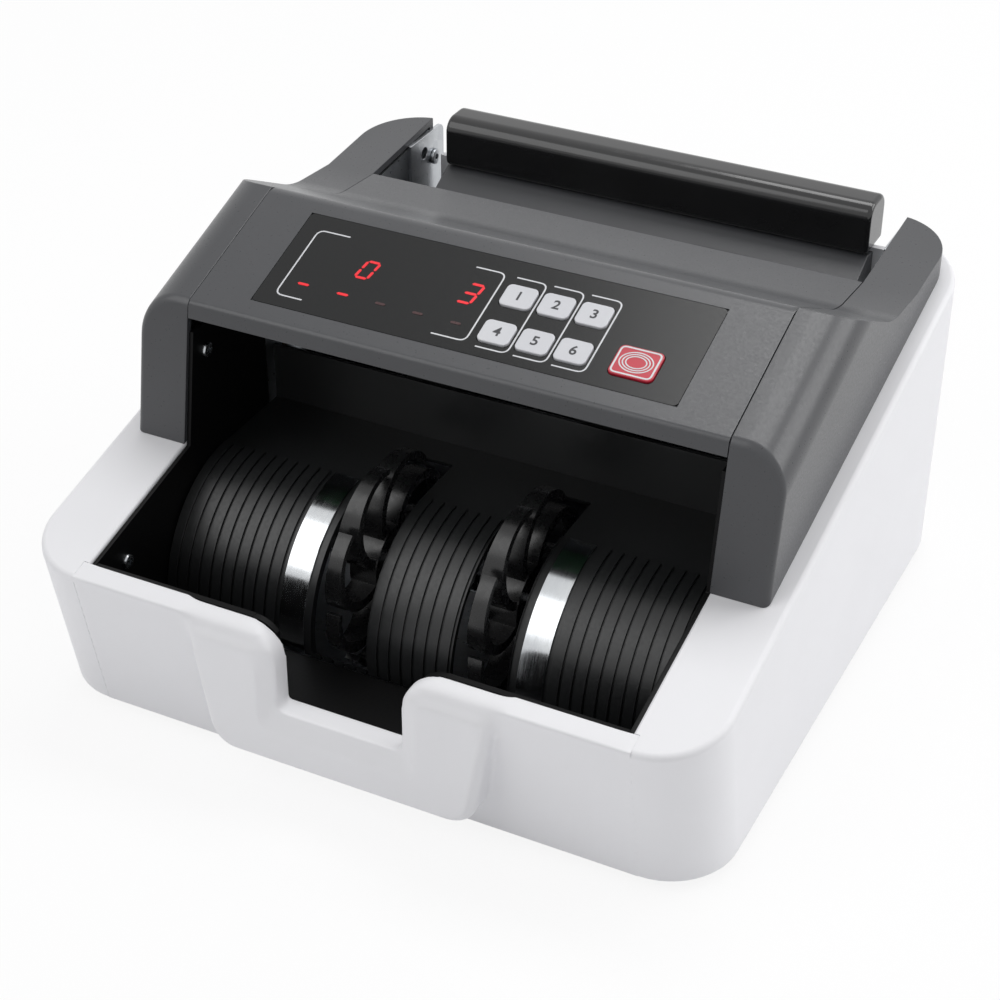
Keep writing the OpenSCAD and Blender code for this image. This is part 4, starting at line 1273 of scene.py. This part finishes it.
@dataclass
class Works:
    """Frame, shafts, rollers, drive and boards, which keep the shapes of their solids."""

    shafts: tuple[str, ...] = (
        "tie_rods", "paddle_shaft", "feed_shaft", "pickup_shaft", "exit_shaft", "pinch_shaft",
        "motor_pulley",
    )

    def build(self) -> None:
        """Give every solid of the frame the finish of its slot."""
        for node, slot in SLOT_OF.items():
            finish = SHAFT if node in self.shafts else SLOT_FINISH[slot]
            solid = frame["nodes"][node]
            solid.data.materials.clear()
            solid.data.materials.append(finish.material())


@dataclass
class Studio:
    """Pale floor, soft lights and the camera at the photograph's angle."""

    lens: float = 79.21
    sensor: float = 36.0
    eye: tuple[float, float, float] = (263.88, -546.40, 444.70)
    azimuth: float = 26.277
    elevation: float = 33.504
    roll: float = 0.272
    floor_half: float = 4.0
    floor_drop: float = 0.2
    floor_white: float = 0.88
    floor_colour: str = "#f2f2f3"
    floor_rough: float = 0.9
    sky_light: float = 0.44
    lights: tuple[tuple[str, Place, Place, Point, float], ...] = (
        ("key", (200.0, 565.0, 1500.0), (200.0, 0.0, 60.0), (1300.0, 600.0), 11.0),
        ("front", (-750.0, -850.0, 1150.0), (0.0, 0.0, 60.0), (1000.0, 1000.0), 5.2),
        ("fill", (1700.0, 1150.0, 1100.0), (0.0, 0.0, 60.0), (1300.0, 1300.0), 16.0),
    )

    def white_for_camera(self, tree: Tree) -> Any:
        """Socket that is one where the background is seen straight, in gloss or through glass."""
        path = add_node(tree, "ShaderNodeLightPath", {}, {})
        first = add_node(
            tree, "ShaderNodeMath", {"operation": "MAXIMUM"},
            {0: path.outputs["Is Camera Ray"], 1: path.outputs["Is Glossy Ray"]},
        )
        both = add_node(
            tree, "ShaderNodeMath", {"operation": "MAXIMUM"},
            {0: first.outputs[0], 1: path.outputs["Is Transmission Ray"]},
        )
        return both.outputs[0]

    def floor(self) -> Piece:
        """Pale floor that keeps a faint shadow."""
        deselect()
        bpy.ops.mesh.primitive_plane_add(
            size=2 * self.floor_half, location=(0.0, 0.0, -self.floor_drop / METRE)
        )
        piece = named("floor")
        with editing(piece):
            bpy.ops.mesh.select_all(action="SELECT")
            bpy.ops.mesh.subdivide(number_cuts=3)
        material = bpy.data.materials.new("pale_floor")
        material.use_nodes = True
        tree = material.node_tree
        shader = tree.nodes["Principled BSDF"]
        shader.inputs["Base Color"].default_value = linear(self.floor_colour)
        shader.inputs["Roughness"].default_value = self.floor_rough
        shine = add_node(tree, "ShaderNodeEmission", {}, {"Color": (1.0, 1.0, 1.0, 1.0), "Strength": 1.0})
        share = add_node(
            tree, "ShaderNodeMath", {"operation": "MULTIPLY"},
            {0: self.white_for_camera(tree), 1: self.floor_white},
        )
        mix = add_node(
            tree, "ShaderNodeMixShader", {},
            {0: share.outputs[0], 1: shader.outputs[0], 2: shine.outputs[0]},
        )
        tree.links.new(mix.outputs[0], tree.nodes["Material Output"].inputs["Surface"])
        piece.data.materials.append(material)
        return piece

    def sky(self) -> None:
        """Even light from all round, seen as white."""
        world = bpy.data.worlds.new("studio")
        bpy.context.scene.world = world
        world.use_nodes = True
        tree = world.node_tree
        tree.nodes.clear()
        strength = add_node(
            tree, "ShaderNodeMapRange", {},
            {"Value": self.white_for_camera(tree), "To Min": self.sky_light, "To Max": 1.0},
        )
        light = add_node(
            tree, "ShaderNodeBackground", {},
            {"Color": (1.0, 1.0, 1.0, 1.0), "Strength": strength.outputs[0]},
        )
        add_node(tree, "ShaderNodeOutputWorld", {}, {"Surface": light.outputs[0]})

    def lamps(self) -> None:
        """Large soft lamps."""
        for name, place, aim, size, power in self.lights:
            lamp = bpy.data.lights.new(name, "AREA")
            lamp.shape = "RECTANGLE"
            lamp.size = size[0] / METRE
            lamp.size_y = size[1] / METRE
            lamp.energy = power
            holder = placed(name, lamp)
            spot = Vector(place) / METRE
            way = Vector(aim) / METRE - spot
            turn = way.to_track_quat("-Z", "Y").to_matrix().to_4x4()
            holder.matrix_world = Matrix.Translation(spot) @ turn

    def camera(self) -> None:
        """Camera at the place worked out from the photograph's edges."""
        turn, lift, lean = (math.radians(v) for v in (self.azimuth, self.elevation, self.roll))
        back = Vector((math.sin(turn) * math.cos(lift), -math.cos(turn) * math.cos(lift), math.sin(lift)))
        across = Vector((math.cos(turn), math.sin(turn), 0.0))
        up = back.cross(across)
        right = math.cos(lean) * across + math.sin(lean) * up
        above = math.cos(lean) * up - math.sin(lean) * across
        view = bpy.data.cameras.new("view")
        view.sensor_width = self.sensor
        view.sensor_fit = "HORIZONTAL"
        view.lens = self.lens
        view.clip_start = 0.01
        holder = placed("view", view)
        axes = Matrix((right, above, back)).transposed().to_4x4()
        holder.matrix_world = Matrix.Translation(Vector(self.eye) / METRE) @ axes
        bpy.context.scene.camera = holder

    def build(self) -> None:
        """Set up the studio."""
        bpy.context.scene.view_settings.view_transform = "Standard"
        self.camera()
        self.floor()
        self.sky()
        self.lamps()


def main() -> None:
    """Build the studio and every sub-assembly in order."""
    logging.basicConfig(level=logging.INFO, format="%(message)s")
    for assembly in (
        Studio(), Works(), BaseCovers(), Hood(), Keypad(), Pocket(), PaddleWheels(), Hopper(),
        RearFittings(),
    ):
        LOG.info("Building %s", type(assembly).__name__)
        assembly.build()
    deselect()


if __name__ == "__main__":
    main()
